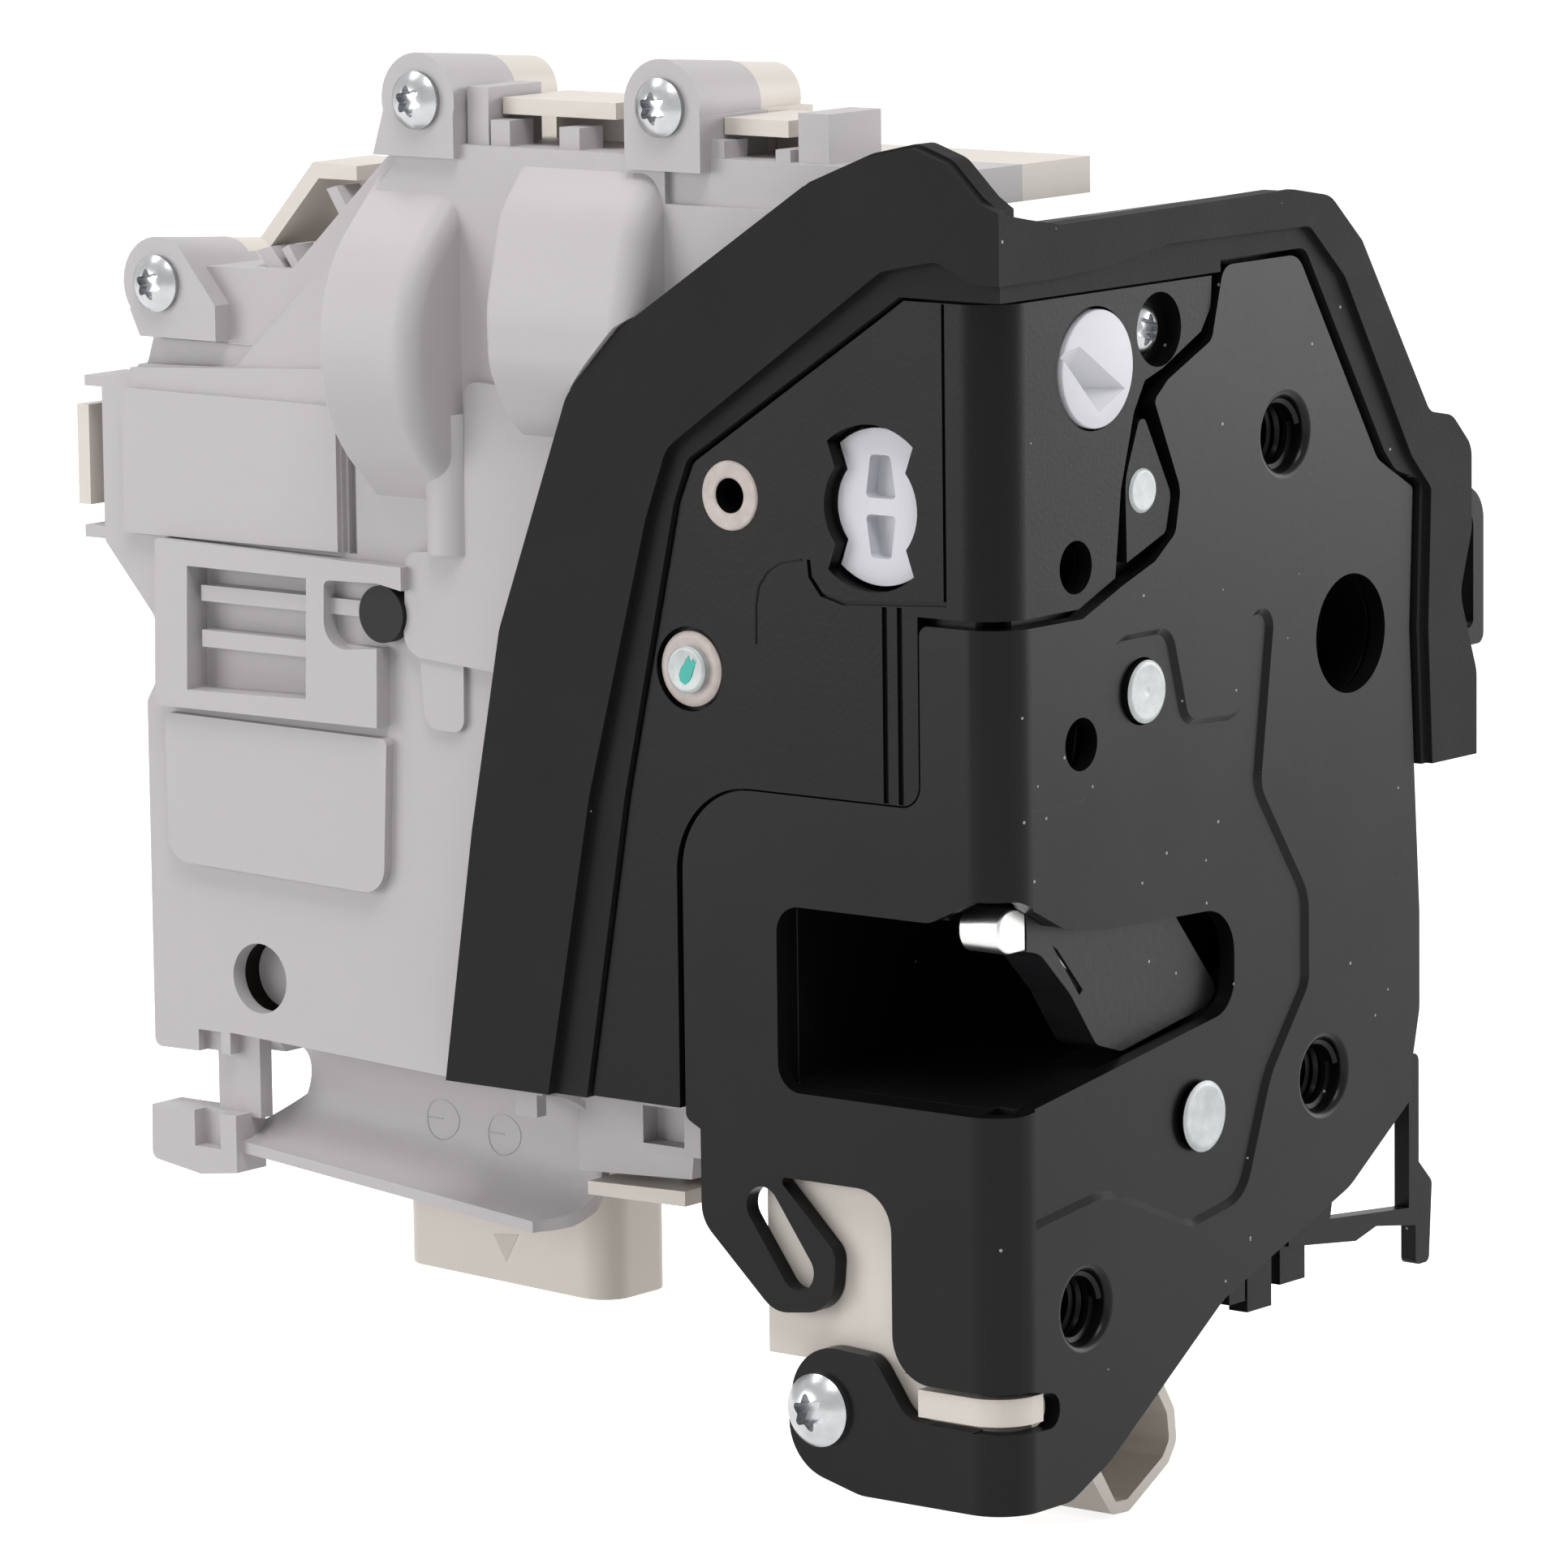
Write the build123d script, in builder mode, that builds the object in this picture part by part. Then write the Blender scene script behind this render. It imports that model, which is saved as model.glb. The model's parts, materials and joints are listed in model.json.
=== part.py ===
from build123d import *
from math import cos, radians, sin
import os

os.makedirs("parts", exist_ok=True)

# Door latch actuator: a latch behind an L-shaped steel frame, and a flat drive unit beside it.
# The origin is the centre of the upper M8 fixing, on the outer face of the steel plate.
# +X runs along the striker face, +Y goes back into the door and +Z is up, all in millimetres.

# Driving dimensions of the steel frame
STEEL = 2.0
FLANGE_X = -51.0
BEND_RADIUS = 5.0
FACE_RECESS = 0.6
FIXINGS = [(0.0, 0.0), (7.0, -71.7), (-37.2, -90.0)]
FIXING_R = 4.0
COLLAR_R = 6.0
COLLAR_DEPTH = 6.0
BIG_HOLE, BIG_HOLE_R = (12.3, -23.2), 6.6
SMALL_HOLES, SMALL_HOLE_R = [(-37.4, -29.2), (-37.5, -10.4)], 2.85

# Latch mechanism, seen along +Y: pivots are x and z
CATCH_PIVOT = (-25.7, -25.0)
PAWL_PIVOT = (-16.0, -72.5)
CATCH_FRONT, CATCH_BACK = 3.0, 8.4
CORE_FRONT, CORE_BACK = 3.5, 7.9
PIVOT_R, RIVET_HEAD_R, RIVET_TAIL_R = 3.0, 3.6, 2.2
RUNNING = 0.05

# Black latch housing
WALL = 2.0
SKIN_FRONT = 0.5
BLOCK_FRONT, BLOCK_BACK = 2.7, 22.0
POCKET_BACK, MID_WALL_BACK = 9.0, 11.5
CHANNEL_BACK = 31.0
DISC_CENTRE, DISC_R, DISC_SHAFT_R = (-34.0, 10.3), 6.3, 4.0
FACE_SCREW = (-23.4, 13.4)
PAD_RIVET = (-25.6, -3.5)
PAWL_SPRING_POST = (-22.0, -78.5)

# Seen along +X: centres are y and z
COUPLER_CENTRE, COUPLER_R, COUPLER_SHAFT_R = (17.3, -3.9), 8.4, 4.0
LEVER_PIVOT, LEVER_SHAFT_R = (42.0, -22.9), 2.5
BUSH_CENTRE, BUSH_R, BUSH_BORE_R = (36.2, -3.8), 3.8, 1.85
ARM_SCREW = (25.3, -101.8)
EARS, EAR_R = [(120.5, 14.1), (81.6, 36.2), (47.3, 36.8)], 5.2

# Drive unit: grey shell outside, cream cover inside, meeting at the split
GREY_FACE, GREY_STEP_FACE, EAR_PLATE_FACE = -47.0, -42.5, -45.6
GROMMET, GROMMET_R = (87.8, -20.8), 3.2
SPLIT_X, EAR_SPLIT_X, EAR_END_X = -35.0, -36.3, -28.5
COVER_BACK = -23.0
GEAR_AXIS, PINION_AXIS = (-41.5, 7.5), (-40.0, 20.3)
GEAR_TEETH, PINION_TEETH, MODULE = 24, 8, 0.8
GEAR_FRONT, GEAR_BACK = 79.0, 86.5
WHEEL_CENTRE, WHEEL_R, WORM_R = (98.0, -3.0), 8.4, 1.9
LINK_PIVOT = (98.0, -28.0)
MOTOR_FRONT, MOTOR_BACK = 50.4, 66.4


def face_plane(y):
    return Plane.XZ.offset(-y)


def outline(plane, points):
    """A closed outline. A third number on a point rounds that corner."""
    with BuildSketch(plane, mode=Mode.PRIVATE) as shape:
        with BuildLine():
            Polyline(*[(point[0], point[1]) for point in points], close=True)
        make_face()
        for point in points:
            if len(point) == 3:
                corner = shape.vertices().sort_by_distance(Vector(point[0], point[1]))[0]
                fillet(corner, point[2])
    return shape.sketch


def face_prism(points, near, far, mode=Mode.ADD):
    """Extrude an outline drawn in x and z from y = near back to y = far."""
    return extrude(outline(face_plane(near), points), amount=near - far, mode=mode)


def side_prism(points, outer, inner, mode=Mode.ADD):
    """Extrude an outline drawn in y and z from x = outer inwards to x = inner."""
    return extrude(outline(Plane.YZ.offset(outer), points), amount=inner - outer, mode=mode)


def box_points(u0, u1, v0, v1, radius=0.0):
    corners = [(u0, v0), (u1, v0), (u1, v1), (u0, v1)]
    return [(u, v, radius) for u, v in corners] if radius else corners


def face_rod(centre, radius, near, far, mode=Mode.ADD):
    with BuildSketch(face_plane(near), mode=Mode.PRIVATE) as disc:
        with Locations(centre):
            Circle(radius)
    return extrude(disc.sketch, amount=near - far, mode=mode)


def side_rod(centre, radius, outer, inner, mode=Mode.ADD):
    with BuildSketch(Plane.YZ.offset(outer), mode=Mode.PRIVATE) as disc:
        with Locations(centre):
            Circle(radius)
    return extrude(disc.sketch, amount=inner - outer, mode=mode)


def bent_wall(corner_x, corner_y, thickness, bottom, top):
    """A wall of even thickness that turns the corner between the two faces."""
    with BuildSketch(Plane.XY.offset(bottom), mode=Mode.PRIVATE) as section:
        with Locations((corner_x, corner_y)):
            Rectangle(90, 85, align=(Align.MIN, Align.MIN))
        with Locations((corner_x + thickness, corner_y + thickness)):
            Rectangle(90, 85, align=(Align.MIN, Align.MIN), mode=Mode.SUBTRACT)
        corner = section.vertices().sort_by_distance(Vector(corner_x, corner_y))[0]
        fillet(corner, BEND_RADIUS)
        inside = Vector(corner_x + thickness, corner_y + thickness)
        corner = section.vertices().sort_by_distance(inside)[0]
        fillet(corner, BEND_RADIUS - thickness)
    return extrude(section.sketch, amount=top - bottom)


def keep(face_points, side_outlines):
    """Trim a bent wall to one outline on its face and to others on its side."""
    face_prism(face_points, -10, 100, Mode.INTERSECT)
    with BuildSketch(Plane.YZ.offset(FLANGE_X - 5), mode=Mode.PRIVATE) as side:
        for points in side_outlines:
            add(outline(Plane.XY, points))
    extrude(side.sketch, amount=100, mode=Mode.INTERSECT)


def save(part, name):
    part.label = name
    export_step(part, f"parts/{name}.step")


# Outlines of the steel frame
FACE_OUTLINE = [
    (-56, -15.8), (-37, -15.9), (-30, -13.2), (-24, -11.2), (-20.3, -8.6, 1.5), (-19.3, -4, 3),
    (-24, 6, 0.8), (-21.5, 8), (-13.5, 11.5, 1.5), (-11.3, 19.3, 2), (2.5, 19.3, 3),
    (17.5, -4.5, 3), (24.3, -8.3, 0.8), (23.6, -24, 8), (25.6, -56, 20), (25.6, -67, 4),
    (24, -73.5), (24, -77), (12, -85, 8), (-12, -93.5, 8), (-33, -107.5, 6), (-40, -110.6, 5),
    (-56, -110.6),
]
FACE_STRIP = box_points(-5, STEEL, -115, 30)
FLANGE_OUTLINE = [
    (1, -15.8), (11, -15.8, 1.2), (11, -35.4, 2.5), (43.4, -35.4, 9.5), (43.4, -72, 1),
    (41.4, -73), (41.4, -83, 4), (31.5, -92, 4), (23.6, -91, 4), (23, -84.5, 2.5),
    (31, -77, 0.5), (15.5, -77, 4.5), (15.5, -97.4, 5), (1, -97.4),
]
ARM_OUTLINE = [
    (1, -101.6), (13.5, -101.6, 4), (18, -95.2, 3), (28.5, -94.6, 6), (30.3, -108, 6),
    (20, -110.6, 6), (1, -110.6),
]
FISHMOUTH_FACE = [
    (-56, -44.6), (-48, -44.6, 3), (-40, -48.6, 4), (-33, -49.8, 6), (-9, -50.6, 5.2),
    (-9, -61.8, 4), (-48, -67.6, 6), (-56, -67.6),
]
FISHMOUTH_SIDE = [
    (2, -44.6), (4, -44.6, 1.5), (10, -47.4, 3), (30.6, -47.4, 3), (30.6, -67.6, 3), (2, -67.6),
]
RECESS_OUTLINE = [
    (-46, -35), (-36, -35, 3), (-32, -31, 1.5), (-33.4, -24, 3), (-31, -18.5, 3), (-21, -18.5, 3),
    (-18, -29, 2), (-8, -29.5, 2.5), (-6.5, -18.5, 2.2), (-2, -18.5, 2.2), (-4.8, -38, 4),
    (4.2, -51, 6), (4.2, -61, 3), (-3, -70, 12), (-8, -83, 5), (-18, -84.6, 6),
    (-33, -78.4, 12), (-46, -80),
]
RECESS_SLOPE = 50
GAP_SLOT = [(-56, -97.4), (-47, -97.4), (-42, -98.4, 1.8), (-42, -102, 1.8), (-56, -101.6)]

# Steel frame: one pressing bent once, each face cut to its own outline
with BuildPart() as latch_frame:
    bent_wall(FLANGE_X, 0, STEEL, -115, 30)
    keep(FACE_OUTLINE, [FACE_STRIP, FLANGE_OUTLINE, ARM_OUTLINE])
    face_prism(RECESS_OUTLINE, STEEL, STEEL + FACE_RECESS)
    recess = outline(face_plane(0), RECESS_OUTLINE)
    extrude(recess, amount=-FACE_RECESS, taper=RECESS_SLOPE, mode=Mode.SUBTRACT)
    for fixing in FIXINGS:
        face_rod(fixing, COLLAR_R, STEEL, STEEL + COLLAR_DEPTH)
    for fixing in FIXINGS:
        face_rod(fixing, FIXING_R, -1, STEEL + COLLAR_DEPTH + 1, Mode.SUBTRACT)
    face_prism(FISHMOUTH_FACE, -1, BEND_RADIUS, Mode.SUBTRACT)
    side_prism(FISHMOUTH_SIDE, FLANGE_X - 1, FLANGE_X + BEND_RADIUS, Mode.SUBTRACT)
    face_prism(GAP_SLOT, -1, BEND_RADIUS, Mode.SUBTRACT)
    face_rod(BIG_HOLE, BIG_HOLE_R, -1, 4, Mode.SUBTRACT)
    face_rod(SMALL_HOLES[0], SMALL_HOLE_R, -1, 4, Mode.SUBTRACT)
    for pivot in (CATCH_PIVOT, PAWL_PIVOT):
        face_rod(pivot, RIVET_HEAD_R + RUNNING, -1, 4, Mode.SUBTRACT)
    with BuildSketch(Plane.YZ.offset(FLANGE_X - 1), mode=Mode.PRIVATE) as ear_slot:
        with Locations(Location((30.6, -83.8), 54)):
            SlotOverall(12.4, 4.4)
    extrude(ear_slot.sketch, amount=4, mode=Mode.SUBTRACT)
    side_rod(ARM_SCREW, 2.2, FLANGE_X - 1, FLANGE_X + 4, Mode.SUBTRACT)
save(latch_frame.part, "latch_frame")

# Outlines of the latch housing
SKIN_FACE = [
    (-56, -72), (-48.9, -72), (-48.9, -14.9), (-37.3, -15.0), (-30.5, -12.3), (-29.4, -3), (-27, 5),
    (-25, 8.2), (-21.8, 9.2), (-14.8, 12.5), (-13, 15), (-12.8, 18.3), (-56, 18.3),
]
SKIN_STRIP = box_points(-5, BLOCK_FRONT, -14.9, 30)
PANEL_OUTLINE = [
    (0, 18.3), (12.6, 18.3), (16, 16), (41.1, -0.6, 2), (43, -5, 2), (50.4, -37.4), (56.4, -71),
    (44.2, -71), (44.2, -35.2, 10), (11.2, -35.2, 2.3), (11.2, -14.9), (0, -14.9),
]
COUPLER_STEP = [
    (25.9, -9.9), (25.7, -11.8), (24.1, -13.7), (21.2, -14.4), (7.7, -13.6), (7.7, -13.1),
    (21.1, -13.9), (23.8, -13.3), (25.2, -11.6), (25.4, -9.9),
]
PANEL_GROOVES = [
    box_points(7.3, 7.7, -13.6, 18.2), box_points(13.2, 13.9, -35.1, -14.1),
    box_points(15.2, 15.9, -35.1, -14.2), COUPLER_STEP,
]
ISLAND_OUTLINE = [
    (-28.4, -10.9), (-28.6, -2, 6), (-25.6, 5.2, 0.8), (-20.4, -4.4, 2), (-21.4, -8.4, 1),
]
PANEL_BASE = [
    (2.7, 26), (5, 31), (10, 33.4, 3), (17, 32.3, 5), (27, 28.4), (40.5, 19.2), (53, 10, 5),
    (59.6, 0, 5), (65, -17, 8), (77, -71), (2.7, -71),
]
BLOCK_LEFT = -46.95
BLOCK_OUTLINE = [
    (BLOCK_LEFT, 20), (0.5, 20, 3), (16.5, -5.3, 3), (22.8, -9, 1), (22.3, -24, 8),
    (24.2, -56, 20), (24.2, -66, 3), (22.5, -76, 1), (11.5, -83.8, 6), (-12, -91.8, 5),
    (-33, -94.4), (-49, -94.4), (-49, -71.1), (BLOCK_LEFT, -71.1),
]
SEAL_SEAT = [
    (BLOCK_LEFT, 26), (1, 26, 5), (13, 19.5), (25.6, -0.6, 2), (33.6, -1.5, 3), (33.6, -39.3),
    (20, -39.3), (20, -10), (0, 16), (BLOCK_LEFT, 16),
]
HOOK_OUTLINE = [(30, -8), (38, -8, 2), (45.3, -12, 4), (45.3, -28.5, 1.2), (30, -28.5)]
HOOK_WINDOW = [(35.5, -13, 1), (43.2, -13, 2), (43.2, -26.5, 1), (35.5, -26.5, 1)]
BRACKET_OUTLINE = [
    (20, -72), (29.4, -73, 1), (29.4, -85.4), (32, -88, 1), (31.4, -97.2, 0.8), (28.7, -97.2, 0.8),
    (28.7, -92.6), (21, -91.4), (17, -92.4), (4, -90.8), (4, -86), (20, -80),
]
BRACKET_WINDOW = [(13, -84.4), (24, -75.6), (27.4, -76), (27.4, -90.4), (12, -89)]
COMB_TEETH = [(-6.6, -3.6, -95.6), (-3.2, 1.4, -97.0), (3.0, 7.8, -95.0)]
CHANNEL_OUTER = box_points(BLOCK_LEFT, -6, -69.8, -44.6)
POCKET_OUTLINE = [
    (-46.5, -35, 2), (-37, -16.5, 5), (-15, -16.5, 5), (-7, -29, 3), (14.8, -31.5, 3),
    (14.8, -44, 6), (6, -59, 4), (3, -66), (-24, -68), (-46.5, -60),
]
PAWL_POCKET = [
    (-24, -66), (5, -60, 1), (4.4, -68, 2), (-7, -82, 5), (-40.5, -83.2, 2), (-40.5, -68.7, 1),
    (-24, -68.7),
]
MOUTH_VOID = [
    (-52, -46.9), (-33, -49.2), (-8.5, -50.2, 5), (-8.5, -62.2, 4), (-48, -67.6), (-52, -67.6),
]
TIP_RELIEF = box_points(-52, -42, -53, -44.4)
UPPER_CAVITY = [
    (-48, -13.4), (-48, 17.8), (-0.5, 17.8, 3), (14.5, -5.5, 3), (20.5, -11, 1), (20.5, -13.4),
]
MIDDLE_CAVITY = box_points(-48, 20.5, -42.6, -13.3)
LOWER_CAVITY = [(-46.8, -71.8), (-2, -71.8), (-6, -84, 2), (-14, -90, 2), (-33, -92.4), (-46.8, -92.4)]


def bow_tie(x, centre, radius, waist):
    """Two round lobes with straight flanks and a round waist between them, in the plane at x."""
    plane = Plane.YZ.offset(x) * Location((centre[0], centre[1], 0))
    wide, pinch, rise = 1.2 * radius, 0.36 * radius, 2.3 * radius
    with BuildSketch(plane, mode=Mode.PRIVATE) as shape:
        Circle(radius)
        Polygon((pinch, 0), (wide, -rise), (wide, rise), align=None, mode=Mode.SUBTRACT)
        Polygon((-pinch, 0), (-wide, rise), (-wide, -rise), align=None, mode=Mode.SUBTRACT)
        Circle(waist)
    return shape.sketch


def cut_face_fittings():
    """Open the round seats of the fittings that show on the striker face."""
    face_rod(SMALL_HOLES[1], SMALL_HOLE_R, 0, 6, Mode.SUBTRACT)
    face_rod(DISC_CENTRE, DISC_R + 0.3, 0, 3.6, Mode.SUBTRACT)
    face_rod(DISC_CENTRE, DISC_SHAFT_R + RUNNING, 3, 6, Mode.SUBTRACT)
    face_rod((FACE_SCREW[0] + 1, FACE_SCREW[1]), 4.0, 0, BLOCK_FRONT, Mode.SUBTRACT)
    face_rod(FACE_SCREW, 1.45, 2, 6, Mode.SUBTRACT)
    face_rod(PAD_RIVET, 1.85, 0, 6, Mode.SUBTRACT)
    face_prism(box_points(-52, -45.9, -95, -14.9), 2, 5.1, Mode.SUBTRACT)
    face_prism(MOUTH_VOID, BLOCK_FRONT - 0.3, CHANNEL_BACK, Mode.SUBTRACT)


# Black housing skin: the corner above the steel, and the side panel with its base
with BuildPart() as housing_skin:
    bent_wall(FLANGE_X, SKIN_FRONT, BLOCK_FRONT - SKIN_FRONT, -72, 35)
    keep(SKIN_FACE, [SKIN_STRIP, PANEL_OUTLINE])
    face_prism(ISLAND_OUTLINE, SKIN_FRONT, BLOCK_FRONT)
    face_prism(box_points(BLOCK_LEFT, 0, -72, 30), BLOCK_FRONT, BLOCK_FRONT + WALL, Mode.SUBTRACT)
    side_prism(PANEL_BASE, FLANGE_X + STEEL, FLANGE_X + STEEL + WALL)
    cut_face_fittings()
    face_prism(TIP_RELIEF, BLOCK_FRONT - 0.3, POCKET_BACK, Mode.SUBTRACT)
    window = bow_tie(FLANGE_X - 1, COUPLER_CENTRE, COUPLER_R + 0.5, 6.2)
    extrude(window, amount=1 + WALL, mode=Mode.SUBTRACT)
    side_rod(COUPLER_CENTRE, COUPLER_R + 0.6, FLANGE_X + 1.6, -46.6, Mode.SUBTRACT)
    side_rod(LEVER_PIVOT, 4.6, FLANGE_X - 1, FLANGE_X + 1, Mode.SUBTRACT)
    side_rod(LEVER_PIVOT, LEVER_SHAFT_R + RUNNING, FLANGE_X, -46, Mode.SUBTRACT)
    side_rod(BUSH_CENTRE, BUSH_R + RUNNING, FLANGE_X - 1, -46, Mode.SUBTRACT)
    for groove in PANEL_GROOVES:
        side_prism(groove, FLANGE_X - 1, FLANGE_X + 0.45, Mode.SUBTRACT)
save(housing_skin.part, "housing_skin")

# Black latch housing: the block with its pockets, the seat of the seal, the hook and the bracket
with BuildPart() as latch_housing:
    face_prism(BLOCK_OUTLINE, BLOCK_FRONT, BLOCK_BACK)
    face_prism(SEAL_SEAT, BLOCK_FRONT, BLOCK_FRONT + WALL)
    face_prism(HOOK_OUTLINE, BLOCK_FRONT + WALL, BLOCK_FRONT + WALL + 3.5)
    face_prism(HOOK_WINDOW, BLOCK_FRONT, BLOCK_FRONT + 3 * WALL, Mode.SUBTRACT)
    face_prism(BRACKET_OUTLINE, BLOCK_FRONT, BLOCK_FRONT + WALL)
    face_prism(BRACKET_WINDOW, BLOCK_FRONT - 1, BLOCK_FRONT + WALL + 1, Mode.SUBTRACT)
    for left, right, low in COMB_TEETH:
        face_prism(box_points(left, right, low, -86), BLOCK_FRONT + 0.5, BLOCK_FRONT + 3)
    face_prism(POCKET_OUTLINE, BLOCK_FRONT - 0.3, POCKET_BACK, Mode.SUBTRACT)
    face_prism(PAWL_POCKET, BLOCK_FRONT - 0.3, POCKET_BACK, Mode.SUBTRACT)
    face_prism(TIP_RELIEF, BLOCK_FRONT - 0.3, POCKET_BACK, Mode.SUBTRACT)
    face_prism(UPPER_CAVITY, 5, BLOCK_BACK + 1, Mode.SUBTRACT)
    face_prism(MIDDLE_CAVITY, MID_WALL_BACK, BLOCK_BACK + 1, Mode.SUBTRACT)
    face_prism(LOWER_CAVITY, MID_WALL_BACK, BLOCK_BACK + 1, Mode.SUBTRACT)
    for post, radius in ((CATCH_PIVOT, 3.3), (PAWL_SPRING_POST, 2.8)):
        face_rod(post, radius, MID_WALL_BACK - 0.5, BLOCK_BACK - 4)
    face_rod(BIG_HOLE, BIG_HOLE_R + 0.4, 2, POCKET_BACK, Mode.SUBTRACT)
    face_rod(SMALL_HOLES[0], SMALL_HOLE_R, 2, POCKET_BACK, Mode.SUBTRACT)
    for fixing in FIXINGS:
        face_rod(fixing, COLLAR_R + 0.4, 2, BLOCK_BACK - WALL, Mode.SUBTRACT)
    for pivot in (CATCH_PIVOT, PAWL_PIVOT):
        face_rod(pivot, RIVET_TAIL_R + RUNNING, 8, BLOCK_BACK, Mode.SUBTRACT)
    cut_face_fittings()
    side_prism(box_points(8, BLOCK_BACK, -13.6, 6.6), -44.6, -42.6)
    side_rod(COUPLER_CENTRE, COUPLER_SHAFT_R + RUNNING, -45, -42, Mode.SUBTRACT)
    side_prism(box_points(15, 23, -96, -72.5), FLANGE_X, -46, Mode.SUBTRACT)
save(latch_housing.part, "latch_housing")

# Striker channel: the closed back of the mouth, behind the block
with BuildPart() as striker_channel:
    face_prism(CHANNEL_OUTER, BLOCK_BACK + RUNNING, CHANNEL_BACK + WALL)
    face_prism(MOUTH_VOID, BLOCK_BACK - 1, CHANNEL_BACK, Mode.SUBTRACT)
save(striker_channel.part, "striker_channel")

# Rubber seal: one moulding round the two faces, a low inner lip and a proud outer band
LIP_X, BAND_X, BAND_Y = -51.6, -52.8, -1.2
SEAL_SIDE = [
    (-0.4, 28.4), (1.5, 29.6), (5.5, 33.4, 3), (10, 34.9, 2.5), (16, 33.6, 4), (24.5, 30.2),
    (32.5, 25), (50, 13.6, 3), (57.4, 6, 5), (62.9, -8), (67.6, -20.4, 6), (72, -43),
    (76.4, -71.2), (56.8, -71.2), (50.8, -37.4), (43.4, -5, 2), (41.5, -0.2, 2), (16.3, 16.3),
    (12.7, 18.7), (-0.4, 18.7),
]
SEAL_SIDE_BAND = [
    (BAND_Y, 28.2), (1.5, 29.2), (5.5, 33, 3), (10, 34.5, 2.5), (16, 33.2, 4), (24.5, 29.8),
    (32.5, 24.6), (50, 13.2, 3), (57.2, 5.8, 5), (62.5, -8), (67.2, -20.4, 6), (71.6, -43),
    (76, -71.2), (61.3, -71.2), (54.8, -37.6), (46.4, -6.9, 3), (43.4, 1, 4), (14.2, 21.4, 3),
    (7, 22.8, 3), (2, 20.6), (BAND_Y, 20.6),
]
SEAL_FACE = [
    (LIP_X, 28), (-47.7, 27, 4), (-42, 26), (0, 26.4, 5), (7, 25.2, 4), (13, 19.8), (25.8, -0.2, 2),
    (30.2, -1, 3), (34, -4.8, 3), (34, -14, 3), (31.7, -21, 4), (35, -30, 4), (35, -39.4),
    (25.4, -39.4), (24.5, -24, 6), (25.2, -7.5, 0.6), (20.4, -6, 3), (18.2, -3.6, 2),
    (3.2, 20, 2), (-12.4, 20), (-12.4, 18.7), (LIP_X, 18.7),
]
SEAL_FACE_BAND = [
    (BAND_X, 28.2), (-47.7, 27.2, 4), (-42, 26.2), (0, 26.6, 5), (7, 25.4, 4), (13, 20),
    (26, 0, 2), (30.4, -0.8, 3), (34.2, -4.6, 3), (34.2, -14, 3), (31.9, -21, 4), (35.2, -30, 4),
    (35.2, -39.4), (26.4, -39.4), (25.6, -24, 6), (26.2, -8.5, 1), (22.4, -4.6, 2), (9.6, 16.4, 3),
    (3, 22.4, 2), (-22.9, 22.6, 3), (-34.5, 21), (-44, 20.6), (BAND_X, 20.6),
]
with BuildPart() as seal:
    side_prism(SEAL_SIDE, LIP_X, FLANGE_X + STEEL)
    side_prism(SEAL_SIDE_BAND, BAND_X, LIP_X)
    face_prism(SEAL_FACE, -0.4, BLOCK_FRONT)
    face_prism(SEAL_FACE_BAND, BAND_Y, -0.4)
save(seal.part, "seal")

# Catch: a steel core in a plastic jacket, with the hook tip left bare
TIP = [(-43.3, -50.8), (-48.2, -50.8, 2.3), (-48.2, -45.8, 2.3), (-43.3, -45.8)]
CORE_OUTLINE = [
    (-31, -20.6, 5), (-20.6, -19.6, 5), (-19, -30, 5), (-18.8, -49.6, 5), (-11.6, -58.6, 1),
    (-13, -60.4, 1), (-26.4, -62.8, 1.4), (-29.4, -61.6, 1.4), (-34, -55.4, 5), (-40, -50.1, 3),
    (-43.5, -50.1), (-43.5, -46.4), (-38, -46.4), (-34.6, -37, 4),
]
JACKET_OUTLINE = [
    (-32, -19, 6), (-19.6, -18.2, 5), (-17.6, -30, 6), (-17.2, -50, 6), (-8.6, -60.2, 1.5),
    (-11, -61.6, 1), (-26.5, -64.2, 2.2), (-31, -62.8, 2), (-35.6, -56.6, 6), (-41, -51.4, 4),
    (-43.3, -50.9), (-43.3, -45.4, 0.5), (-39, -45.4), (-36, -36, 4),
]
SILENCER_SLOT = [(-38.6, -51), (-37.9, -51.4), (-33.4, -56.4), (-34, -56.9)]

with BuildPart() as catch_core:
    face_prism(CORE_OUTLINE, CORE_FRONT, CORE_BACK)
    face_prism(TIP, CATCH_FRONT, CATCH_BACK)
    face_rod(CATCH_PIVOT, PIVOT_R + RUNNING, 2, POCKET_BACK, Mode.SUBTRACT)
save(catch_core.part, "catch_core")

with BuildPart() as catch_jacket:
    face_prism(JACKET_OUTLINE, CATCH_FRONT, CATCH_BACK)
    face_prism(CORE_OUTLINE, CORE_FRONT, CORE_BACK, Mode.SUBTRACT)
    face_prism(SILENCER_SLOT, CATCH_FRONT - 1, CORE_FRONT, Mode.SUBTRACT)
    face_rod(CATCH_PIVOT, PIVOT_R + 0.6, 2, POCKET_BACK, Mode.SUBTRACT)
save(catch_jacket.part, "catch_jacket")

# Pawl: at rest it rides just clear of the catch
PAWL_OUTLINE = [
    (-1.3, -58.3, 1.5), (1.8, -62.1, 1.5), (-10.5, -78, 5), (-19, -78.8, 4), (-37.6, -77.4, 1.5),
    (-37.6, -74.4, 1.5), (-24, -70.6, 4), (-18.8, -67.2, 4), (-9, -64.8, 2),
]
with BuildPart() as pawl:
    face_prism(PAWL_OUTLINE, CORE_FRONT, CORE_BACK)
    face_rod(PAWL_PIVOT, PIVOT_R + RUNNING, 2, POCKET_BACK, Mode.SUBTRACT)
save(pawl.part, "pawl")


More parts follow.
